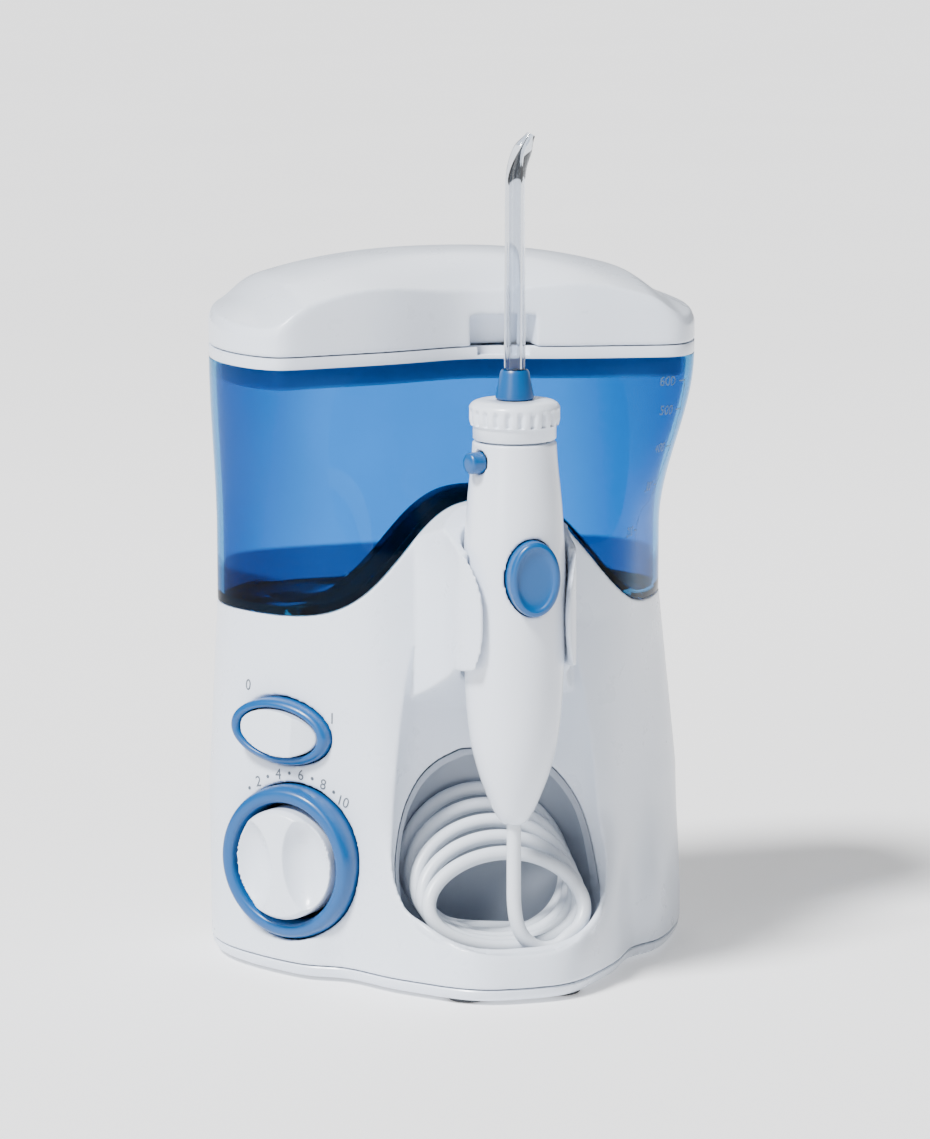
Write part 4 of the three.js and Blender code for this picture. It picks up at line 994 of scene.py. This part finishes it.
def add_handle():
    wall = [tuple(p) for p in rounded_path(HANDLE_PROFILE, 5)]
    outer = [(0, HANDLE_BOTTOM_Z)] + wall + [(0, COLLAR_Z - 0.6)]
    inner = [(0, 70), (8, 70), (11.2, 82), (11.2, 140), (9.6, 152), (9.6, COLLAR_Z + 4), (0, COLLAR_Z + 4)]
    handle = on_handle(lathe("handle_shell", outer, 120))
    eject_start = Vector((0, HANDLE_Y, EJECT_Z)) + EJECT_OUT * 7
    cut(handle, on_handle(lathe("inner", inner, 64)), rod("hose_hole", 2.9, 30, (0, HANDLE_Y, 46)),
        out_of_front(oval_rod("button_hole", 7.9, 11.2, 8, 30)),
        rod("eject_hole", 3.4, 12, eject_start, EJECT_OUT))
    soften(handle, 0.5, 4)
    settle(handle, "handle", ["handle_body"], WHITE_HANDLE)


def add_pause_button():
    """An oval cap with a raised rounded rim round a shallow dished face."""
    edge = [(-0.6, 11), (0, 11.3), (0, 16.6), (-0.12, 17.15), (-0.45, 17.65), (-0.95, 17.95), (-1.45, 18),
            (-1.9, 17.85), (-2.25, 17.55), (-2.6, 17.3), (-3.4, 17.15), (-4.6, 17.05), (-6, 17)]
    rings = [at_height(oval(7.5 + offset, 10.8 + offset, 128), height) for offset, height in edge]
    button = smooth_shaded(out_of_front(outward(loft("pause_cap", rings))), 60)
    settle(button, "pause", ["pause_button"], BLUE)


def add_eject_button():
    profile = [(0, 11.7), (3.0, 11.7), (3.1, 11.8), (3.1, 15.0), (2.98, 15.5), (2.65, 15.9), (2.1, 16.2),
               (1.2, 16.3), (0, 16.3)]
    button = stood(outward(lathe("eject_cap", profile, 56)), (0, HANDLE_Y, EJECT_Z), EJECT_OUT)
    settle(smooth_shaded(button), "eject", ["eject_button"], BLUE)


def add_collar():
    """The knurled collar: 22 flutes that start under its rounded top, over a plain skirt."""
    flutes = 22
    skirt_low, band_low, band_high = COLLAR_Z, 167.0, 172.0
    profile = [(4.4, 158.4), (4.4, 157.8), (9, 157.8), (9, skirt_low), (11.5, skirt_low),
               (11.9, skirt_low + 0.4), (11.9, band_low - 0.6), (12.1, band_low - 0.1)]
    depths = [0] * len(profile)
    for t in np.linspace(0, 1, 12):
        radius = 12.55 + 0.45 * math.sin(math.pi * min(t * 1.2, 0.5))
        profile.append((radius, band_low + (band_high - band_low) * t))
        depths.append(1.0 * smooth_step(0, 0.1, t) * (1 - smooth_step(0.72, 1.0, t)))
    top = [(12.75, 172.5), (12.3, 173.1), (11.5, 173.6), (10.6, 173.9), (9, 174), (4.6, 174), (4.4, 173.8)]
    profile += top
    depths += [0] * len(top)
    rings = []
    for (radius, height), depth in zip(profile, depths):
        ring = []
        for a in round_angles(flutes * 14):
            reach = radius - depth * (0.5 + 0.5 * math.cos(flutes * a)) ** 2.2
            ring.append((reach * math.cos(a), reach * math.sin(a), height))
        rings.append(ring)
    collar = on_handle(outward(loft("collar_ring", rings, closed=True)))
    settle(smooth_shaded(collar, 50), "collar", ["collar"], WHITE)


def add_jet_tip():
    """The coloured ring on the stem and the clear tip, which bends over at the top."""
    ring = [(3.4, 150.5), (3.9, 150.5), (3.9, RING_Z), (5.2, RING_Z), (5.5, RING_Z + 0.3),
            (5.48, RING_Z + 0.9), (4.9, RING_Z + 3.6), (4.25, RING_Z + 7.2), (4.0, 182.2), (3.7, 182.6),
            (3.4, 182.4)]
    sleeve = on_handle(outward(lathe("tip_sleeve", ring, 64)))
    settle(smooth_shaded(sleeve, 40), "tip", ["tip_ring"], BLUE)
    bend = [(0, 152), (0, 180), (0, 210), (0, 232), (0.4, 239), (2, 244.2), (4.7, 249.1)]
    line = resampled(rounded_path([(x, HANDLE_Y, z) for x, z in bend], 14), 90)

    def outer(t):
        return 3.15 - 0.35 * t - 1.5 * smooth_step(0.93, 1, t) ** 1.5

    def bore(t):
        return 1.7 - 1.2 * smooth_step(0.84, 0.97, t)
    tip = swept_tube("jet_tip_tube", line, outer, 40)
    cut(tip, swept_tube("bore", line, bore, 24), rod("inlet", 1.7, 4, (0, HANDLE_Y, 150)),
        rod("mouth", 0.5, 4, (4.1, HANDLE_Y, 247.9), (0.49, 0, 0.87)))
    settle(smooth_shaded(tip, 40), "tip", ["jet_tip"], CLEAR)


# -------------------- dial and switch
def add_dial_ring():
    loop = ring_profile([(17.3, -3.9), (22.6, -3.9), (22.8, 2.4), (21.6, 5), (18.2, 5)], 1.9, 6)
    ring = on_flank(outward(lathe("dial_bezel", loop, 128)), DIAL_CENTRE)
    settle(smooth_shaded(ring, 50), "base", ["dial_ring"], BLUE)


def add_knob():
    """The dial's knob: a bar between two scooped hollows."""
    cap = lathe("dial_cap", [(0, -3.5), (16.4, -3.5), (16.4, 6.0), (15.2, 8), (0, 8.2)], 128)
    half_circle = [(math.sin(a), -math.cos(a)) for a in np.linspace(0, math.pi, 41)]
    for side in (-1, 1):
        scoop = lathe("scoop", half_circle, 64)
        scoop.data.transform(Matrix.Diagonal((8.4, 14.6, 8.4, 1)))
        cut(cap, stood(scoop, (side * 10, 0, 10.6)))
    join(cap, rod("stem", 2.4, 16, (0, 0, -19)))
    soften(cap, 0.4, 4)
    on_flank(cap, DIAL_CENTRE, DIAL_TURN)
    settle(cap, "dial", ["dial_knob"], WHITE)


def on_flank_skin(across, up, centre, proud):
    """The base's surface point under a place on the flank, given across and up from a centre."""
    guess = centre + FLANK_ACROSS * across + Vector((0, 0, up))
    ring = body_ring(guess.z)
    offset = ring - np.array([guess.x, guess.y])
    beside = np.abs(offset @ np.array(FLANK_ACROSS[:2]))
    beside[offset @ np.array(FLANK_NORMAL[:2]) < -30] = 1e6
    nearest = np.argsort(beside)[:2]
    near, far = beside[nearest]
    point = (ring[nearest[0]] * far + ring[nearest[1]] * near) / (near + far + 1e-9)
    return Vector((point[0], point[1], guess.z)) + FLANK_NORMAL * proud


def print_on_flank(name, words, size, across, up, centre, turn=0.0):
    mark = flat_text(name, words, size)
    for vertex in mark.data.vertices:
        u, v, _ = vertex.co
        u, v = u * math.cos(turn) - v * math.sin(turn), u * math.sin(turn) + v * math.cos(turn)
        vertex.co = on_flank_skin(across + u, up + v, centre, 0.12) * MM
    settle(mark, "base", [], GREY_INK)


def add_scale():
    """Numbers and dots round the top of the dial, and 0 and I beside the switch."""
    radius = 25.6
    labels = ["dot", "2", "dot", "4", "dot", "6", "dot", "8", "dot", "10"]
    for i, words in enumerate(labels):
        angle = math.radians(41 - 82 * i / (len(labels) - 1))
        across, up = -radius * math.sin(angle), radius * math.cos(angle)
        if words == "dot":
            print_on_flank(f"scale_dot_{i}", "•", 4.2, across, up, DIAL_CENTRE, angle)
        else:
            print_on_flank(f"scale_{words}", words, 4.4, across, up, DIAL_CENTRE, angle * 0.4)
    print_on_flank("switch_off", "0", 4.6, -15, 11.5, SWITCH_CENTRE)
    print_on_flank("switch_on", "I", 4.6, 17.5, 5.5, SWITCH_CENTRE)


def add_switch():
    edge = [(0, -3.1), (0, 1.9), (-0.15, 2.7), (-0.6, 3.4), (-1.2, 3.8), (-1.9, 4), (-2.5, 3.9), (-2.9, 3.5),
            (-3.05, 3.0), (-3.05, -3.1)]
    rings = []
    for offset, height in edge:
        shrink = 1 - 0.22 * smooth_step(0, 3, -offset)
        rings.append(at_height(oval(17 + offset, 9.6 + offset * shrink, 128), height))
    bezel = on_flank(outward(loft("switch_ring", rings, closed=True)), SWITCH_CENTRE, SWITCH_ROLL)
    settle(smooth_shaded(bezel, 50), "base", ["switch_bezel"], BLUE)
    crown = [(-13.4, -2.6), (13.4, -2.6), (13.4, 2.6), (6.5, 6.4), (-13.4, 3.4)]
    rocker = overlap(oval_rod("rocker_cap", 13.3, 6.7, -2.6, 8), prism("crown", crown, -10, 10, "Y"))
    soften(rocker, 0.35, 3)
    on_flank(rocker, SWITCH_CENTRE, SWITCH_ROLL)
    settle(rocker, "rocker", ["switch_rocker"], WHITE)


# -------------------- surroundings
def add_studio():
    far = 9000
    corners = [(-far, -far, 0), (far, -far, 0), (far, far, 0), (-far, far, 0)]
    floor = make_mesh("floor", corners, [(0, 1, 2, 3)])
    material, tree, shader = new_material("floor_paper")
    tree.links.new(colour_drift(tree, (0.86, 0.86, 0.87), 0.01, 4.0), shader.inputs["Base Color"])
    white = (1, 1, 1, 1)
    set_inputs(shader, {"Roughness": 0.9, "Emission Color": white, "Emission Strength": 0.40})
    floor.data.materials.append(material)
    world = bpy.data.worlds.new("studio")
    world.use_nodes = True
    set_inputs(world.node_tree.nodes["Background"], {"Color": white, "Strength": 0.12})
    bpy.context.scene.world = world

    def softbox(name, place, size, watts):
        light = bpy.data.lights.new(name, "AREA")
        light.shape = "RECTANGLE"
        light.size, light.size_y = size
        light.energy = watts
        lamp = in_scene(name, light)
        lamp.location = place
        aim = Vector((0, 0, 0.11)) - Vector(place)
        lamp.rotation_euler = aim.to_track_quat("-Z", "Y").to_euler()

    softbox("left", (-0.46, -0.44, 0.35), (0.25, 0.5), 1.5)
    softbox("back", (0.2, 0.8, 0.9), (0.7, 0.5), 3.0)
    sun = bpy.data.lights.new("window", "SUN")
    sun.energy = 7.6
    sun.angle = math.radians(13)
    sunlight = Vector((0.66, 0.34, -1.02))
    in_scene("window", sun).rotation_euler = sunlight.to_track_quat("-Z", "Y").to_euler()


add_base()
add_well_liner()
add_tray()
add_feet_and_screws()
add_cord_gland()
add_tank()
add_level_marks()
add_valve()
add_lid_tray()
add_lid_cover()
add_handle()
add_pause_button()
add_eject_button()
add_collar()
add_jet_tip()
add_dial_ring()
add_knob()
add_scale()
add_switch()
add_studio()
